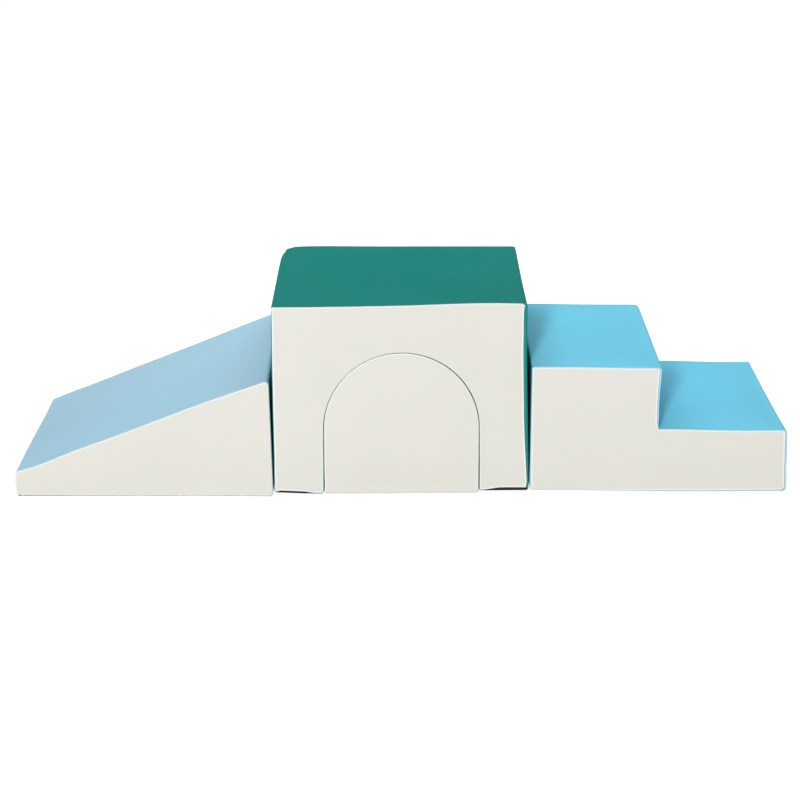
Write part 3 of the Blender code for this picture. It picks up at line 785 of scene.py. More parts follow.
def stitch_shape():
    """One thread stitch, a long bead half sunk in the cloth."""
    bpy.ops.object.select_all(action="DESELECT")
    bpy.ops.mesh.primitive_uv_sphere_add(segments=8, ring_count=4, radius=0.5)
    made = bpy.context.object
    bpy.ops.object.mode_set(mode="EDIT")
    bpy.ops.mesh.select_all(action="SELECT")
    bpy.ops.transform.rotate(value=math.pi / 2, orient_axis="Y", center_override=(0, 0, 0))
    bpy.ops.transform.resize(value=STITCH_SIZE, center_override=(0, 0, 0))
    bpy.ops.object.mode_set(mode="OBJECT")
    return made


def hook_shape():
    """One mushroom hook: a stem with a wider head."""
    bpy.ops.object.select_all(action="DESELECT")
    bpy.ops.mesh.primitive_cone_add(vertices=6, **HOOK_STEM)
    stem = bpy.context.object
    bpy.ops.mesh.primitive_cone_add(vertices=6, **HOOK_HEAD)
    stem.select_set(True)
    bpy.context.view_layer.objects.active = stem
    bpy.ops.object.join()
    bpy.ops.object.transform_apply(location=True)
    return stem


def loop_shape():
    """One loop of the pile, half of it sunk in the cloth."""
    bpy.ops.object.select_all(action="DESELECT")
    bpy.ops.mesh.primitive_torus_add(
        major_segments=8, minor_segments=3, major_radius=LOOP_RADIUS, minor_radius=LOOP_THREAD
    )
    made = bpy.context.object
    bpy.ops.object.mode_set(mode="EDIT")
    bpy.ops.mesh.select_all(action="SELECT")
    bpy.ops.transform.rotate(value=math.pi / 2, orient_axis="X", center_override=(0, 0, 0))
    bpy.ops.object.mode_set(mode="OBJECT")
    return made


def stitch_loop(box, grow, corner):
    """Places and directions of stitches on a ring round a rectangle (low, low, high, high)."""
    ring = box_outline((box[0] - grow, box[1] - grow, box[2] + grow, box[3] + grow), corner)
    along = np.linspace(0, ring.length, round(ring.length / STITCH_PITCH), endpoint=False)
    spots, out = ring.at(along)
    return spots, np.stack([-out[:, 1], out[:, 0]], -1)


# Finishes

WHITE = (1.0, 1.0, 1.0, 1.0)
RUB_CHANGE = 0.16
PLATING_ROUGHNESS = 0.2
PLATING_CHANGE = 0.15
GROOVE_DULLNESS = 0.2
# Strength of the painted highlight on the rolled seam edges of each vinyl
VINYL_PAINTED_HIGHLIGHTS = {"cream": 0.75, "green": 0.03, "pale_blue": 0.15, "sky_blue": 0.45}
SPECKLED_FINISHES = (
    Speckled("non_slip_base", "base", cells=330.0, evenness=0.9, rise=0.0004, roughness=0.8),
    Speckled("foam", "foam", cells=900.0, evenness=0.1, rise=0.0005, roughness=0.95),
    Speckled("loop_strip", "strip", cells=1100.0, evenness=0.0, rise=0.0006, roughness=0.95),
    Speckled("hook_strip", "strip", cells=600.0, evenness=0.9, rise=0.0004, roughness=0.6),
)
FINISH_NAMES = (
    *(f"{name}_vinyl" for name in VINYL_PAINTED_HIGHLIGHTS), *(made.slot for made in SPECKLED_FINISHES),
    "zip_tape", "zip_metal",
)


def new_group(name, inputs, outputs):
    """An empty shader node group with named inputs and outputs."""
    tree = bpy.data.node_groups.new(name, "ShaderNodeTree")
    for label, kind, value in inputs:
        socket = tree.interface.new_socket(label, in_out="INPUT", socket_type=f"NodeSocket{kind}")
        socket.default_value = value
    for label, kind in outputs:
        tree.interface.new_socket(label, in_out="OUTPUT", socket_type=f"NodeSocket{kind}")
    start = tree.nodes.new("NodeGroupInput")
    end = tree.nodes.new("NodeGroupOutput")
    return tree, start.outputs, end.inputs


def node(tree, kind, inputs=None, **settings):
    """A node with its settings and with values or links on its inputs."""
    made = tree.nodes.new(f"ShaderNode{kind}")
    for label, value in settings.items():
        setattr(made, label, value)
    for label, value in (inputs or {}).items():
        if isinstance(value, bpy.types.NodeSocket):
            tree.links.new(value, made.inputs[label])
        else:
            made.inputs[label].default_value = value
    return made


def maths(tree, operation, first, second=0.0):
    """The result of a sum of two values or sockets."""
    return node(tree, "Math", {0: first, 1: second}, operation=operation).outputs[0]


def sums(tree):
    """Short forms of three kinds of sum: times, plus and minus."""
    return (partial(maths, tree, operation) for operation in ("MULTIPLY", "ADD", "SUBTRACT"))


def socket_mix(tree, share, first, second, blend="MIX"):
    """A mix of two colours. The Mix node's colour sockets are picked by their place in it."""
    inputs = {0: share, 6: first, 7: second}
    return node(tree, "Mix", inputs, data_type="RGBA", blend_type=blend).outputs[2]


def vinyl_grain_group():
    """Fine pebbled grain of coated cloth with slow shallow waves, as a height from 0 to 1."""
    tree, start, end = new_group(
        "Vinyl Grain",
        [("Pebbles per Metre", "Float", 900.0), ("Wave Share", "Float", 0.3)],
        [("Height", "Float")],
    )
    times, plus, _ = sums(tree)
    place = node(tree, "TexCoord").outputs["Object"]
    pebbles = node(tree, "TexVoronoi", {"Vector": place, "Scale": start[0]}, feature="SMOOTH_F1")
    weave = node(tree, "TexNoise", {"Vector": place, "Scale": start[0], "Detail": 3.0})
    slow = node(tree, "TexNoise", {"Vector": place, "Scale": 22.0, "Detail": 2.0})
    fine = plus(pebbles.outputs["Distance"], weave.outputs[0])
    tree.links.new(plus(times(fine, 0.5), times(slow.outputs[0], start[1])), end[0])
    return tree


def vinyl_wear_and_painted_light_group():
    """Colour and roughness of coated cloth: slow tone changes, painted shade in the seam grooves, a
    painted highlight on the rolled edges beside them, duller seams and rubbed spots.
    """
    tree, start, end = new_group(
        "Vinyl Wear",
        [
            ("Colour", "Color", (0.5, 0.5, 0.5, 1.0)),
            ("Tone Change", "Float", 0.04),
            ("Seam Shade", "Float", 0.35),
            ("Edge Light", "Float", 0.3),
            ("Roughness", "Float", 0.42),
        ],
        [("Colour", "Color"), ("Roughness", "Float")],
    )
    times, plus, minus = sums(tree)
    place = node(tree, "TexCoord").outputs["Object"]
    seam = node(tree, "Attribute", attribute_name="seam").outputs["Fac"]
    cloud = node(tree, "TexNoise", {"Vector": place, "Scale": 5.0, "Detail": 4.0}).outputs[0]
    rubs = node(tree, "TexNoise", {"Vector": place, "Scale": 60.0, "Detail": 5.0}).outputs[0]
    tone = plus(1.0, times(minus(cloud, 0.5), start[1]))
    # Painted shade darkens the seam groove, and a painted highlight lightens the rolled edge beside
    # it towards white
    groove = node(tree, "MapRange", {"Value": seam, "From Min": 0.72, "From Max": 0.92}).outputs[0]
    painted_highlight = node(tree, "MapRange", {"Value": seam, "From Min": 0.08, "From Max": 0.5}).outputs[0]
    painted_highlight = times(painted_highlight, minus(1.0, groove))
    shade = minus(tone, times(groove, start[2]))
    level = node(tree, "CombineColor", {0: shade, 1: shade, 2: shade}).outputs[0]
    shaded = socket_mix(tree, 1.0, start[0], level, blend="MULTIPLY")
    tree.links.new(socket_mix(tree, times(painted_highlight, start[3]), shaded, WHITE), end[0])
    rough = plus(start[4], times(minus(rubs, 0.5), RUB_CHANGE))
    tree.links.new(plus(rough, times(groove, GROOVE_DULLNESS)), end[1])
    return tree


def weave_group():
    """Crossing threads on a flat piece, as a height from 0 to 1."""
    tree, start, end = new_group(
        "Woven Threads", [("Threads per Metre", "Float", 1800.0)], [("Height", "Float")]
    )
    times, plus, _ = sums(tree)
    place = node(tree, "TexCoord").outputs["Object"]
    split = node(tree, "SeparateXYZ", {0: place}).outputs
    turns = times(start[0], math.pi)
    warp = maths(tree, "SINE", times(plus(split["X"], split["Y"]), turns))
    weft = maths(tree, "SINE", times(split["Z"], turns))
    tree.links.new(plus(times(times(warp, weft), 0.5), 0.5), end[0])
    return tree


def speckle_group():
    """Cells, tufts or pimples of one size, as a height from 0 to 1."""
    tree, start, end = new_group(
        "Speckle",
        [("Cells per Metre", "Float", 500.0), ("Evenness", "Float", 0.5)],
        [("Height", "Float")],
    )
    _, _, minus = sums(tree)
    place = node(tree, "TexCoord").outputs["Object"]
    loose = minus(1.0, start[1])
    cells = node(tree, "TexVoronoi", {"Vector": place, "Scale": start[0], "Randomness": loose})
    tree.links.new(minus(1.0, cells.outputs["Distance"]), end[0])
    return tree


def principled(name):
    """A new material with a Principled shader, and that shader."""
    made = bpy.data.materials.new(name)
    made.use_nodes = True
    return made, made.node_tree, made.node_tree.nodes["Principled BSDF"]


def add_bump(tree, shader, height, distance, strength):
    """Raise a surface by a height from 0 to 1."""
    bump = node(tree, "Bump", {"Height": height, "Distance": distance, "Strength": strength})
    tree.links.new(bump.outputs["Normal"], shader.inputs["Normal"])


def use_group(tree, group, **values):
    """A node group placed in a material, with its values by name."""
    made = tree.nodes.new("ShaderNodeGroup")
    made.node_tree = group
    for label, value in values.items():
        made.inputs[label.replace("_", " ")].default_value = value
    return made.outputs


def shade_low(tree, shader, height, colour, share):
    """Colour a surface, with painted shade where it lies low."""
    low = [channel * share for channel in colour]
    shade = socket_mix(tree, height, (*low, 1.0), (*colour, 1.0))
    tree.links.new(shade, shader.inputs["Base Color"])


def vinyl_finish(name, colour, groups, edge_light):
    """Satin coated cloth in one colour, with painted shade in its seam grooves and a painted
    highlight on its rolled edges.
    """
    made, tree, shader = principled(name)
    wear = use_group(tree, groups["wear"], Colour=(*colour, 1.0), Edge_Light=edge_light)
    shader.inputs["Specular IOR Level"].default_value = 0.15
    tree.links.new(wear["Colour"], shader.inputs["Base Color"])
    tree.links.new(wear["Roughness"], shader.inputs["Roughness"])
    grain = use_group(tree, groups["grain"])["Height"]
    add_bump(tree, shader, grain, distance=0.0002, strength=0.35)
    return made


def speckled_finish(kind, colour, groups):
    """A matt finish with raised cells, tufts or pimples, and painted shade between them."""
    made, tree, shader = principled(kind.slot)
    group = use_group(
        tree, groups["speckle"], Cells_per_Metre=kind.cells, Evenness=kind.evenness
    )
    shade_low(tree, shader, group["Height"], colour, share=0.6)
    shader.inputs["Roughness"].default_value = kind.roughness
    add_bump(tree, shader, group["Height"], distance=kind.rise, strength=0.6)
    return made


def woven_finish(name, colour, groups):
    """Woven tape, with painted shade between its threads."""
    made, tree, shader = principled(name)
    threads = use_group(tree, groups["weave"])["Height"]
    shade_low(tree, shader, threads, colour, share=0.75)
    shader.inputs["Roughness"].default_value = 0.85
    add_bump(tree, shader, threads, distance=0.0002, strength=0.5)
    return made


def metal_finish(name, colour, groups):
    """Die-cast metal with a worn plating, and painted shade in the hollows of its fine relief."""
    made, tree, shader = principled(name)
    times, plus, _ = sums(tree)
    cloud = use_group(tree, groups["speckle"], Cells_per_Metre=700.0, Evenness=0.0)["Height"]
    shade_low(tree, shader, cloud, colour, share=0.82)
    shader.inputs["Metallic"].default_value = 1.0
    rough = plus(PLATING_ROUGHNESS, times(cloud, PLATING_CHANGE))
    tree.links.new(rough, shader.inputs["Roughness"])
    add_bump(tree, shader, cloud, distance=0.00005, strength=0.3)
    return made


def finishes(context):
    """All materials by slot, made at the first call."""
    first = bpy.data.materials.get(FINISH_NAMES[0])
    if first and first.get("dressed"):
        return {name: bpy.data.materials[name] for name in FINISH_NAMES}
    for old in FINISH_NAMES:
        if old in bpy.data.materials:
            bpy.data.materials[old].name = f"{old}_plain"
    colours = context.scene.foam_climber_colours
    groups = {
        "grain": vinyl_grain_group(),
        "wear": vinyl_wear_and_painted_light_group(),
        "weave": weave_group(),
        "speckle": speckle_group(),
    }
    made = {}
    for name, edge_light in VINYL_PAINTED_HIGHLIGHTS.items():
        slot = f"{name}_vinyl"
        made[slot] = vinyl_finish(slot, getattr(colours, name), groups, edge_light)
    for kind in SPECKLED_FINISHES:
        made[kind.slot] = speckled_finish(kind, getattr(colours, kind.colour), groups)
    made["zip_tape"] = woven_finish("zip_tape", colours.tape, groups)
    made["zip_metal"] = metal_finish("zip_metal", colours.metal, groups)
    made[FINISH_NAMES[0]]["dressed"] = True
    return made


# Blocks

FOAM_PIECES = (
    ("arch_foam_core", "arch_foam", "arch_block"),
    ("insert_foam_core", "insert_foam", "arch_insert"),
    ("ramp_foam_core", "ramp_foam", "ramp"),
    ("stairs_lower_foam_slab", "stairs_lower_foam", "stairs"),
    ("stairs_upper_foam_slab", "stairs_upper_foam", "stairs"),
)
BLOCK_FOAMS = {
    "arch": "arch_foam", "insert": "insert_foam", "ramp": "ramp_foam", "stairs": "stairs_lower_foam"
}
STRIPS = (
    ("arch_left_loop_strip", "arch_foam", -1), ("arch_right_loop_strip", "arch_foam", 1),
    ("ramp_hook_strip", "ramp_foam", 1), ("stairs_hook_strip", "stairs_lower_foam", -1),
)


def face_size(panel):
    """Low x, high x and height of a block, from its front panel, whose seams lie inside."""
    low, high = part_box(panel)
    return low[0] - SEAM_TO_EDGE, high[0] + SEAM_TO_EDGE, high[2] + SEAM_TO_EDGE


def zip_box(tape):
    """Low x, low z, high x, high z of a zip's opening, from its tape."""
    low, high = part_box(tape)
    return low[0], low[2], high[0], high[2]


def arch_cover_form():
    """Form of the arch block: a deck on two legs with a round-topped tunnel."""
    low, high, top = face_size("arch_front_panel")
    corners = (
        Corner(low, 0, FOOT_RADIUS, "left_base"),
        Corner(-TUNNEL_RADIUS, 0, FOOT_RADIUS, "tunnel_left"),
        Corner(-TUNNEL_RADIUS, TUNNEL_TOP, TUNNEL_RADIUS, "tunnel_top"),
        Corner(TUNNEL_RADIUS, TUNNEL_TOP, TUNNEL_RADIUS, "tunnel_right"),
        Corner(TUNNEL_RADIUS, 0, FOOT_RADIUS, "right_base"),
        Corner(high, 0, FOOT_RADIUS, "right"),
        Corner(high - ARCH_LEAN, top, ARCH_RIGHT_RADIUS, "top"),
        Corner(low + ARCH_LEAN, top, ARCH_LEFT_RADIUS, "left"),
    )
    front_steps = {
        "left_base": ((0, 0.0004), (0.12, 0.0048), (0.6, 0.0046), (0.8, 0.0012), (1, 0.0)),
        "tunnel_left": ((0, 0.0), (0.05, -0.0006), (0.3, -0.0014), (1, FACE_OVER)),
        "tunnel_right": ((0, FACE_OVER), (0.5, -0.0016), (1, 0.0)),
        "right_base": ((0, 0.0), (0.15, 0.0024), (0.4, 0.0070), (0.95, 0.0070), (1, 0.0055)),
        "right": (
            (0, 0.0055), (0.05, 0.0030), (0.3, 0.0078), (0.6, 0.0088), (0.96, 0.0084), (1, 0.0055),
        ),
        "top": ((0, 0.0055), (0.02, FACE_OVER)),
        "left": ((0, FACE_OVER), (0.03, 0.0002), (1, 0.0004)),
    }
    pressed = [corner.edge for corner in corners if corner.edge != "top"]
    return Cover("arch", corners, "arch_outer_band", pressed, front_steps, seed=0.3)


def insert_cover_form():
    """Form of the insert: the piece cut out of the tunnel."""
    half, top = TUNNEL_RADIUS - INSERT_GAP, TUNNEL_TOP - INSERT_GAP
    corners = (
        Corner(-half, 0, FOOT_RADIUS, "base"),
        Corner(half, 0, FOOT_RADIUS, "right"),
        Corner(half, top, half, "top"),
        Corner(-half, top, half, "left"),
    )
    front_steps = {
        "right": ((0, FACE_OVER), (0.06, -0.0008), (0.3, -0.0018), (1, FACE_OVER)),
        "left": ((0, FACE_OVER), (0.6, -0.0016), (0.94, -0.0006), (1, FACE_OVER)),
    }
    pressed = ("base", "right", "top", "left")
    return Cover("insert", corners, "insert_curved_band", pressed, front_steps, seed=1.9)


def ramp_cover_form():
    """Form of the ramp: a wedge that rises to the arch block."""
    low, high, top = face_size("ramp_front_panel")
    corners = (
        Corner(low, 0, RAMP_FOOT_RADIUS, "base"),
        Corner(high, 0, FOOT_RADIUS, "tall_end"),
        Corner(high - RAMP_LEAN, top, RAMP_TOP_RADIUS, "slope"),
        Corner(low, RAMP_LIP, RAMP_LIP_RADIUS, "lip"),
    )
    front_steps = {"base": ((0, 0.0), (0.08, 0.0006), (0.25, -0.0006), (1, -0.0006))}
    return Cover("ramp", corners, "ramp_slope_band", ("base", "tall_end"), front_steps, seed=3.1)


def stairs_cover_form():
    """Form of the two steps."""
    low, high, top = face_size("stairs_front_panel")
    corners = (
        Corner(low, 0, FOOT_RADIUS, "base"),
        Corner(high, 0, FOOT_RADIUS, "low_riser"),
        Corner(high, STEP_HEIGHT, NOSE_RADIUS, "low_tread"),
        Corner(low + STEP_DEPTH, STEP_HEIGHT, INNER_RADIUS, "high_riser"),
        Corner(low + STEP_DEPTH, top, NOSE_RADIUS, "high_tread"),
        Corner(low + STAIRS_LEAN, top, NOSE_RADIUS, "left"),
    )
    front_steps = {
        "base": ((0, FACE_OVER), (0.25, -0.0016), (0.5, 0.0016), (1, 0.0030)),
        "low_riser": ((0, 0.0030), (0.7, 0.0034), (0.93, 0.0030), (1, 0.0012)),
        "low_tread": ((0, 0.0012), (0.05, FACE_OVER)),
        "high_riser": ((0, FACE_OVER), (0.1, 0.0030), (0.93, 0.0045), (1, 0.0014)),
        "high_tread": ((0, 0.0014), (0.05, FACE_OVER)),
        "left": (
            (0, FACE_OVER), (0.05, -0.0008), (0.5, -0.0002), (0.8, 0.0008), (0.95, 0.0022),
            (1, FACE_OVER),
        ),
    }
    return Cover("stairs", corners, "stairs_step_band", ("base", "left"), front_steps, seed=4.7)


def with_block(made, foam, node_name=None):
    """Parent a piece to its block's foam, and hide the CAD part that it stands for, if there is one.
    """
    made.parent = bpy.data.objects[foam]
    if node_name:
        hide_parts(node_name)


def add_panel(context, cover, parts, slot, node_name):
    """A cover panel that stands for one solid and goes with its block's foam."""
    cloth = "vinyl" if slot.endswith("vinyl") else "cloth"
    made = sheet_object(f"{node_name}_{cloth}", *parts, finishes(context)[slot])
    with_block(made, BLOCK_FOAMS[cover.name], node_name)


def sew_cover(context, cover, *wraps):
    """The cream front and back panels of a block, and the wraps round its sides."""
    cover.simulate()
    for side, word in ((-1, "front"), (1, "back")):
        node_name = f"{cover.name}_{word}_panel"
        add_panel(context, cover, cover.face_panel(side), "cream_vinyl", node_name)
    for wrap in wraps:
        start = cover.outline.spans[wrap.edges[0]][0] + wrap.past_start
        end = cover.outline.spans[wrap.edges[-1]][1] + wrap.past_end
        parts = cover.wrap_panel(start, end, cover.front_seam, cover.back_seam)
        add_panel(context, cover, parts, wrap.slot, wrap.node_name)


def joined_parts(*parts):
    """Several parts of one panel as one set of points, faces and seam distances."""
    points, faces, distances = zip(*parts)
    starts = np.cumsum([0, *map(len, points)]).tolist()
    moved = [
        [corner + start for corner in face]
        for start, part_faces in zip(starts, faces) for face in part_faces
    ]
    return np.concatenate(points), moved, np.concatenate(distances)


def cad_copy(node_name, name, finish):
    """A clean copy of a CAD node's mesh as a new object."""
    bm = bmesh.new()
    bm.from_mesh(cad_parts[node_name].data)
    bmesh.ops.remove_doubles(bm, verts=bm.verts, dist=CAD_MERGE)
    mesh = bpy.data.meshes.new(name)
    bm.to_mesh(mesh)
    bm.free()
    mesh.materials.clear()
    mesh.materials.append(finish)
    return linked(name, mesh)


class FOAMCLIMBER_OT_foam(Operator):
    """Cut the foam of every block to fit under its cover"""

    bl_idname = "foam_climber.foam"
    bl_label = "Foam"

    def execute(self, context):
        for node_name, name, body in FOAM_PIECES:
            made = cad_copy(node_name, name, finishes(context)["foam"])
            bm = bmesh.new()
            bm.from_mesh(made.data)
            bmesh.ops.subdivide_edges(bm, edges=bm.edges, cuts=FOAM_CUTS, use_grid_fill=True)
            bm.normal_update()
            outward = [vert.normal * vert.calc_shell_factor() for vert in bm.verts]
            inward = [vert.co - out * FOAM_SHRINK for vert, out in zip(bm.verts, outward)]
            low, high = np.array(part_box(node_name))
            inside = np.clip(np.array(inward), low + FOAM_SHRINK, high - FOAM_SHRINK)
            for vert, place in zip(bm.verts, settled(inside)):
                vert.co = place
            bm.to_mesh(made.data)
            bm.free()
            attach(made, body)
            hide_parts(node_name)
        return {"FINISHED"}


class FOAMCLIMBER_OT_arch_cover(Operator):
    """Sew the cover of the arch block"""

    bl_idname = "foam_climber.arch_cover"
    bl_label = "Arch block cover"

    def execute(self, context):
        sew_cover(
            context, arch_cover_form(),
            Wrap("arch_outer_band", "green_vinyl", ("right", "top", "left"), past_start=BASE_RISE),
            Wrap("arch_tunnel_lining", "green_vinyl", ("tunnel_left", "tunnel_top", "tunnel_right")),
            Wrap("arch_left_base_panel", "non_slip_base", ("left_base",)),
            Wrap("arch_right_base_panel", "non_slip_base", ("right_base",), past_end=BASE_RISE),
        )
        return {"FINISHED"}


class FOAMCLIMBER_OT_insert_cover(Operator):
    """Sew the cover of the arch insert"""

    bl_idname = "foam_climber.insert_cover"
    bl_label = "Arch insert cover"

    def execute(self, context):
        sew_cover(
            context, insert_cover_form(),
            Wrap("insert_curved_band", "green_vinyl", ("right", "top", "left")),
            Wrap("insert_base_panel", "non_slip_base", ("base",)),
        )
        return {"FINISHED"}


class FOAMCLIMBER_OT_ramp_cover(Operator):
    """Sew the cover of the ramp"""

    bl_idname = "foam_climber.ramp_cover"
    bl_label = "Ramp cover"

    def execute(self, context):
        sew_cover(
            context, ramp_cover_form(),
            Wrap("ramp_slope_band", "pale_blue_vinyl", ("tall_end", "slope", "lip")),
            Wrap("ramp_base_panel", "non_slip_base", ("base",)),
        )
        return {"FINISHED"}


class FOAMCLIMBER_OT_stairs_cover(Operator):
    """Sew the cover of the two steps"""

    bl_idname = "foam_climber.stairs_cover"
    bl_label = "Steps cover"

    def execute(self, context):
        cover = stairs_cover_form()
        sew_cover(context, cover)
        base_start, base_end = cover.outline.spans["base"]
        run = FOOT_RADIUS * math.pi / 4 + BASE_BORDER - FOOT_RADIUS
        start, end = base_start + run, base_end - run
        inner = cover.flat + RIM_RADIUS - BASE_BORDER
        low, high = (partial(np.full_like, fill_value=edge) for edge in (-inner, inner))
        band = joined_parts(
            cover.wrap_panel(end, start + cover.outline.length, cover.front_seam, cover.back_seam),
            cover.wrap_panel(start, end, cover.front_seam, low),
            cover.wrap_panel(start, end, high, cover.back_seam),
        )
        add_panel(context, cover, band, "sky_blue_vinyl", "stairs_step_band")
        base = cover.wrap_panel(start, end, low, high)
        add_panel(context, cover, base, "non_slip_base", "stairs_base_panel")
        return {"FINISHED"}

def zip_tape_sheet(name, box, face_y, finish):
    """The two tapes of one zip, sewn in under the edge of its opening."""
    low, high = box[0] - TAPE_UNDER, box[2] + TAPE_UNDER
    ends = np.arange(0, TAPE_SLOPE + TAPE_UNDER + TAPE_STEP, TAPE_STEP)
    middle = np.linspace(low + ends[-1], high - ends[-1], round((high - low) / TAPE_RUN))[1:-1]
    x = np.concatenate([low + ends, middle, (high - ends)[::-1]])
    across = np.concatenate([TAPE_ACROSS, -TAPE_ACROSS[-2::-1]])
    z = (box[1] + box[3]) / 2 + across
    spots = np.stack(np.meshgrid(x, z, indexing="ij"), -1).reshape(-1, 2)
    inside = -box_distance(spots, box) + TAPE_UNDER
    drop = TAPE_DIP * (1 - smooth_step(inside / (TAPE_SLOPE + TAPE_UNDER)))
    chain = (spots[:, 0] > box[0] + CHAIN_MARGIN) & (spots[:, 0] < box[2] - CHAIN_MARGIN)
    drop += TAPE_GROOVE * chain * np.tile(np.abs(across) < GROOVE_HALF, len(x))
    points = np.stack([spots[:, 0], face_y - drop, spots[:, 1]], -1)
    faces = grid_faces(len(x), len(across))
    return sheet_object(name, points, faces, np.full(len(points), 1.0), finish, TAPE_THICKNESS)


class FOAMCLIMBER_OT_zips(Operator):
    """Sew a zip with its teeth, stops and stitches into every back panel"""

    bl_idname = "foam_climber.zips"
    bl_label = "Zips"

    def execute(self, context):
        made_of = finishes(context)
        tooth = rounded_block(TOOTH_SIZE, TOOTH_BEVEL)
        stop = rounded_block(STOP_SIZE, STOP_BEVEL, segments=2)
        stitch = stitch_shape()
        for block, foam in BLOCK_FOAMS.items():
            node_name = f"{block}_zip_tape"
            box = zip_box(node_name)
            face_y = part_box(node_name)[1][1] - CHAIN_RISE
            middle = (box[1] + box[3]) / 2
            tape = zip_tape_sheet(f"{node_name}_cloth", box, face_y, made_of["zip_tape"])
            with_block(tape, foam, node_name)

            start, end = box[0] + CHAIN_MARGIN, box[2] - CHAIN_MARGIN
            x = np.arange(start + TOOTH_PITCH / 4, end - TOOTH_PITCH / 2, TOOTH_PITCH / 2)
            z = middle + TOOTH_SIDE * np.where(np.arange(len(x)) % 2, 1, -1)
            teeth = np.stack([x, np.full(len(x), face_y - TOOTH_SINK), z], -1)
            stops = [(box[0] + STOP_SPOT, face_y, middle), (box[2] - STOP_SPOT, face_y, middle)]
            spots, run = stitch_loop(box, STITCH_AWAY, STITCH_CORNER)
            above = np.insert(spots, 1, face_y + RAY_HEIGHT, axis=1)
            panel = bpy.data.objects[f"{block}_back_panel_vinyl"]
            seats, normals = laid_on(panel, above, (0, -1, 0))
            tangents = np.insert(run, 1, 0, axis=1)
            for word, shape, points, along, up, slot in (
                ("teeth", tooth, teeth, (1, 0, 0), (0, 1, 0), "zip_tape"),
                ("stops", stop, stops, (1, 0, 0), (0, 1, 0), "zip_metal"),
                ("stitches", stitch, seats, tangents, normals, "zip_tape"),
            ):
                made = copied(f"{block}_zip_{word}", shape, points, along, up, made_of[slot])
                with_block(made, foam)
        for shape in (tooth, stop, stitch):
            bpy.data.objects.remove(shape)
        return {"FINISHED"}


class FOAMCLIMBER_OT_strips(Operator):
    """Sew the hook strips to the ramp and the steps and the loop strips to the arch block"""

    bl_idname = "foam_climber.strips"
    bl_label = "Hook and loop strips"

    def execute(self, context):
        made_of = finishes(context)
        shapes = {"hook": hook_shape(), "loop": loop_shape()}
        stitch = stitch_shape()
        rng = np.random.default_rng(LOOP_SEED)
        for node_name, foam, outward in STRIPS:
            kind = "hook" if "hook" in node_name else "loop"
            slot = f"{kind}_strip"
            low, high = np.array(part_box(node_name))
            inner = low[0] if outward > 0 else high[0]
            surface = inner + outward * STRIP_BASE
            base = cad_copy(node_name, f"{node_name}_cloth", made_of[slot])
            shape = np.array([vert.co[:] for vert in base.data.vertices])
            outer = outward * (shape[:, 0] - inner) > STRIP_BASE / 2
            shape[outer, 0] = surface
            for vert, place in zip(base.data.vertices, settled(shape)):
                vert.co = place
            with_block(base, foam, node_name)

            spots = hex_grid(low[1:], high[1:], HOOK_PITCH if kind == "hook" else LOOP_PITCH)
            middle, half = (low[1:] + high[1:]) / 2, (high[1:] - low[1:]) / 2 - FIELD_BORDER
            spots = spots[(np.abs(spots - middle) < half).all(1)]
            turn = np.zeros(len(spots))
            if kind == "loop":
                spots = spots + rng.uniform(-LOOP_SPREAD, LOOP_SPREAD, spots.shape)
                turn = rng.uniform(0, math.pi, len(spots))
            run = np.stack([np.cos(turn), np.sin(turn)], -1)
            ring = stitch_loop((*low[1:], *high[1:]), -STRIP_BORDER, STRIP_CORNER - STRIP_BORDER)
            for word, shape, places, directions in (
                ("field", shapes[kind], spots, run), ("stitches", stitch, *ring)
            ):
                points = settled(np.insert(places, 0, surface, axis=1))
                tangents = np.insert(directions, 0, 0, axis=1)
                name = f"{node_name}_{word}"
                made = copied(name, shape, points, tangents, (outward, 0, 0), made_of[slot])
                with_block(made, foam)
        for shape in (*shapes.values(), stitch):
            bpy.data.objects.remove(shape)
        return {"FINISHED"}


class FOAMCLIMBER_OT_metal(Operator):
    """Give the zip sliders and pulls their metal"""

    bl_idname = "foam_climber.metal"
    bl_label = "Zip metal"

    def execute(self, context):
        for name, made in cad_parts.items():
            if name.endswith(("_zip_slider", "_zip_pull")):
                made.data.materials.clear()
                made.data.materials.append(finishes(context)["zip_metal"])
        return {"FINISHED"}


class FOAMCLIMBER_OT_stage(Operator):
    """Set up the floor, the studio light and the camera"""

    bl_idname = "foam_climber.stage"
    bl_label = "Stage"

    def execute(self, context):
        light = context.scene.foam_climber_light
        bpy.ops.object.select_all(action="DESELECT")
        bpy.ops.mesh.primitive_plane_add(size=FLOOR_REACH)
        floor = context.object
        floor.name = "studio_floor"
        floor.data.materials.append(floor_finish(light))
        plain, sheen = light.key * (1 - KEY_SHEEN), light.key * KEY_SHEEN
        add_lamp("key_softbox", KEY_PLACE, KEY_AIM, KEY_SIZE, plain, glossy=False)
        add_lamp("key_sheen", KEY_PLACE, KEY_AIM, KEY_SIZE, sheen)
        add_lamp("top_softbox", TOP_PLACE, TOP_AIM, TOP_SIZE, light.top, glossy=False)
        world = bpy.data.worlds.new("studio_room")
        world.use_nodes = True
        tree = world.node_tree
        ground = tree.nodes["Background"]
        ground.inputs["Color"].default_value = (1, 1, 1, 1)
        path = node(tree, "LightPath").outputs
        share = maths(tree, "MULTIPLY", path["Is Camera Ray"], 1 - light.room)
        tree.links.new(maths(tree, "ADD", share, light.room), ground.inputs["Strength"])
        context.scene.world = world
        add_camera(context)
        context.scene.view_settings.view_transform = "Standard"
        return {"FINISHED"}


def add_lamp(name, place, aim, size, strength, glossy=True):
    """A square softbox that faces a point, with its strength as the light on white there."""
    travel = Vector(aim) - Vector(place)
    lamp = bpy.data.lights.new(name, "AREA")
    lamp.size = size
    lamp.energy = strength * travel.length_squared * math.pi * math.pi
    made = linked(name, lamp)
    made.location = place
    made.rotation_euler = travel.to_track_quat("-Z", "Y").to_euler()
    made.visible_glossy = glossy


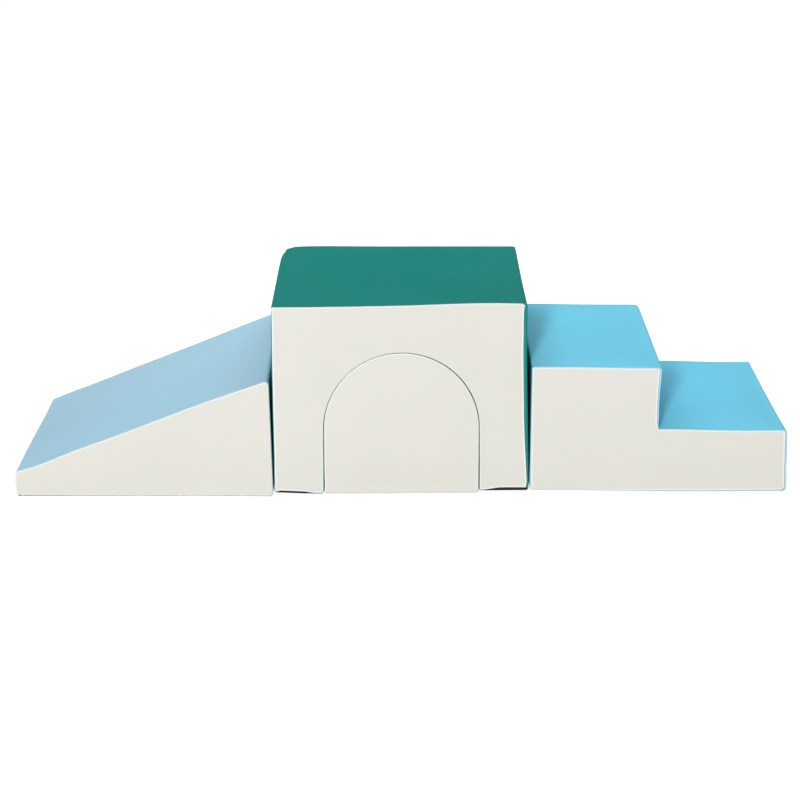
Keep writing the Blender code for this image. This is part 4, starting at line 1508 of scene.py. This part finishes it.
def floor_finish(light):
    """White floor that shows the object's shadow softly."""
    made, tree, shader = principled("studio_white")
    shader.inputs["Base Color"].default_value = (light.floor, light.floor, light.floor, 1)
    shader.inputs["Roughness"].default_value = 0.9
    shader.inputs["Specular IOR Level"].default_value = 0.0
    path = node(tree, "LightPath").outputs
    seen = maths(tree, "MAXIMUM", path["Is Camera Ray"], path["Is Glossy Ray"])
    seen = maths(tree, "MAXIMUM", seen, path["Is Transmission Ray"])
    shader.inputs["Emission Color"].default_value = (1, 1, 1, 1)
    place = node(tree, "TexCoord").outputs["Object"]
    away = node(tree, "VectorMath", {0: place}, operation="LENGTH").outputs["Value"]
    far = node(tree, "MapRange", {"Value": away, "From Min": NEAR_FLOOR, "From Max": FAR_FLOOR})
    glow = maths(tree, "ADD", light.glow, maths(tree, "MULTIPLY", far.outputs[0], 1 - light.glow))
    tree.links.new(maths(tree, "MULTIPLY", seen, glow), shader.inputs["Emission Strength"])
    return made


def add_camera(context):
    """The camera at the photograph's angle."""
    data = bpy.data.cameras.new("photo_camera")
    data.lens = CAMERA_LENS
    data.sensor_width = SENSOR_WIDTH
    made = linked("photo_camera", data)
    turn = Matrix.Rotation(math.radians(CAMERA_YAW), 4, "Z")
    turn @= Matrix.Rotation(math.radians(90 - CAMERA_DOWN), 4, "X")
    turn @= Matrix.Rotation(math.radians(CAMERA_ROLL), 4, "Z")
    made.matrix_world = Matrix.Translation(CAMERA_PLACE) @ turn
    context.scene.camera = made


class FoamClimberColours(PropertyGroup):
    """Colours of the covers and trims"""

    cream: FloatVectorProperty(
        name="Cream", description="Front and back panels", subtype="COLOR",
        default=(0.694, 0.684, 0.630),
    )
    green: FloatVectorProperty(
        name="Green", description="Band and lining of the arch block", subtype="COLOR",
        default=(0.001, 0.238, 0.205),
    )
    pale_blue: FloatVectorProperty(
        name="Pale blue", description="Band of the ramp", subtype="COLOR",
        default=(0.43, 0.70, 0.86),
    )
    sky_blue: FloatVectorProperty(
        name="Sky blue", description="Band of the steps", subtype="COLOR",
        default=(0.175, 0.66, 0.88),
    )
    base: FloatVectorProperty(
        name="Base", description="Non-slip cloth under the blocks", subtype="COLOR",
        default=(0.025, 0.025, 0.022),
    )
    foam: FloatVectorProperty(
        name="Foam", description="Foam inside the covers", subtype="COLOR",
        default=(0.85, 0.82, 0.70),
    )
    strip: FloatVectorProperty(
        name="Strips", description="Hook and loop strips", subtype="COLOR",
        default=(0.04, 0.04, 0.04),
    )
    tape: FloatVectorProperty(
        name="Zip tape", description="Tape and teeth of the zips", subtype="COLOR",
        default=(0.70, 0.69, 0.64),
    )
    metal: FloatVectorProperty(
        name="Zip metal", description="Sliders and pulls", subtype="COLOR",
        default=(0.62, 0.62, 0.60),
    )


class FoamClimberLight(PropertyGroup):
    """Levels of the studio light"""

    key: FloatProperty(
        name="Key", description="Softbox behind the camera, to its left", default=0.95, min=0
    )
    top: FloatProperty(name="Top", description="Softbox overhead, behind", default=1.05, min=0)
    room: FloatProperty(name="Room", description="Even light of the room", default=0.11, min=0)
    floor: FloatProperty(name="Floor", description="Whiteness of the floor", default=0.30, min=0)
    glow: FloatProperty(
        name="Floor glow", description="Glow that the camera sees", default=0.86, min=0
    )


class FOAMCLIMBER_PT_panel(Panel):
    """Lists the steps that dress the climber"""

    bl_idname = "FOAMCLIMBER_PT_panel"
    bl_label = "Foam Climber"
    bl_space_type = "VIEW_3D"
    bl_region_type = "UI"
    bl_category = "Foam Climber"

    def draw(self, context):
        for group in (context.scene.foam_climber_colours, context.scene.foam_climber_light):
            box = self.layout.box()
            for name in group.__annotations__:
                box.prop(group, name)
        for step in STEPS:
            self.layout.operator(step.bl_idname)


STEPS = (
    FOAMCLIMBER_OT_foam,
    FOAMCLIMBER_OT_arch_cover,
    FOAMCLIMBER_OT_insert_cover,
    FOAMCLIMBER_OT_ramp_cover,
    FOAMCLIMBER_OT_stairs_cover,
    FOAMCLIMBER_OT_zips,
    FOAMCLIMBER_OT_strips,
    FOAMCLIMBER_OT_metal,
    FOAMCLIMBER_OT_stage,
)
CLASSES = (FoamClimberColours, FoamClimberLight, *STEPS, FOAMCLIMBER_PT_panel)


def register():
    for item in CLASSES:
        bpy.utils.register_class(item)
    bpy.types.Scene.foam_climber_colours = PointerProperty(type=FoamClimberColours)
    bpy.types.Scene.foam_climber_light = PointerProperty(type=FoamClimberLight)


def unregister():
    del bpy.types.Scene.foam_climber_light
    del bpy.types.Scene.foam_climber_colours
    for item in reversed(CLASSES):
        bpy.utils.unregister_class(item)


def main():
    register()
    for step in STEPS:
        family, name = step.bl_idname.split(".")
        getattr(getattr(bpy.ops, family), name)()


if __name__ == "__main__":
    main()
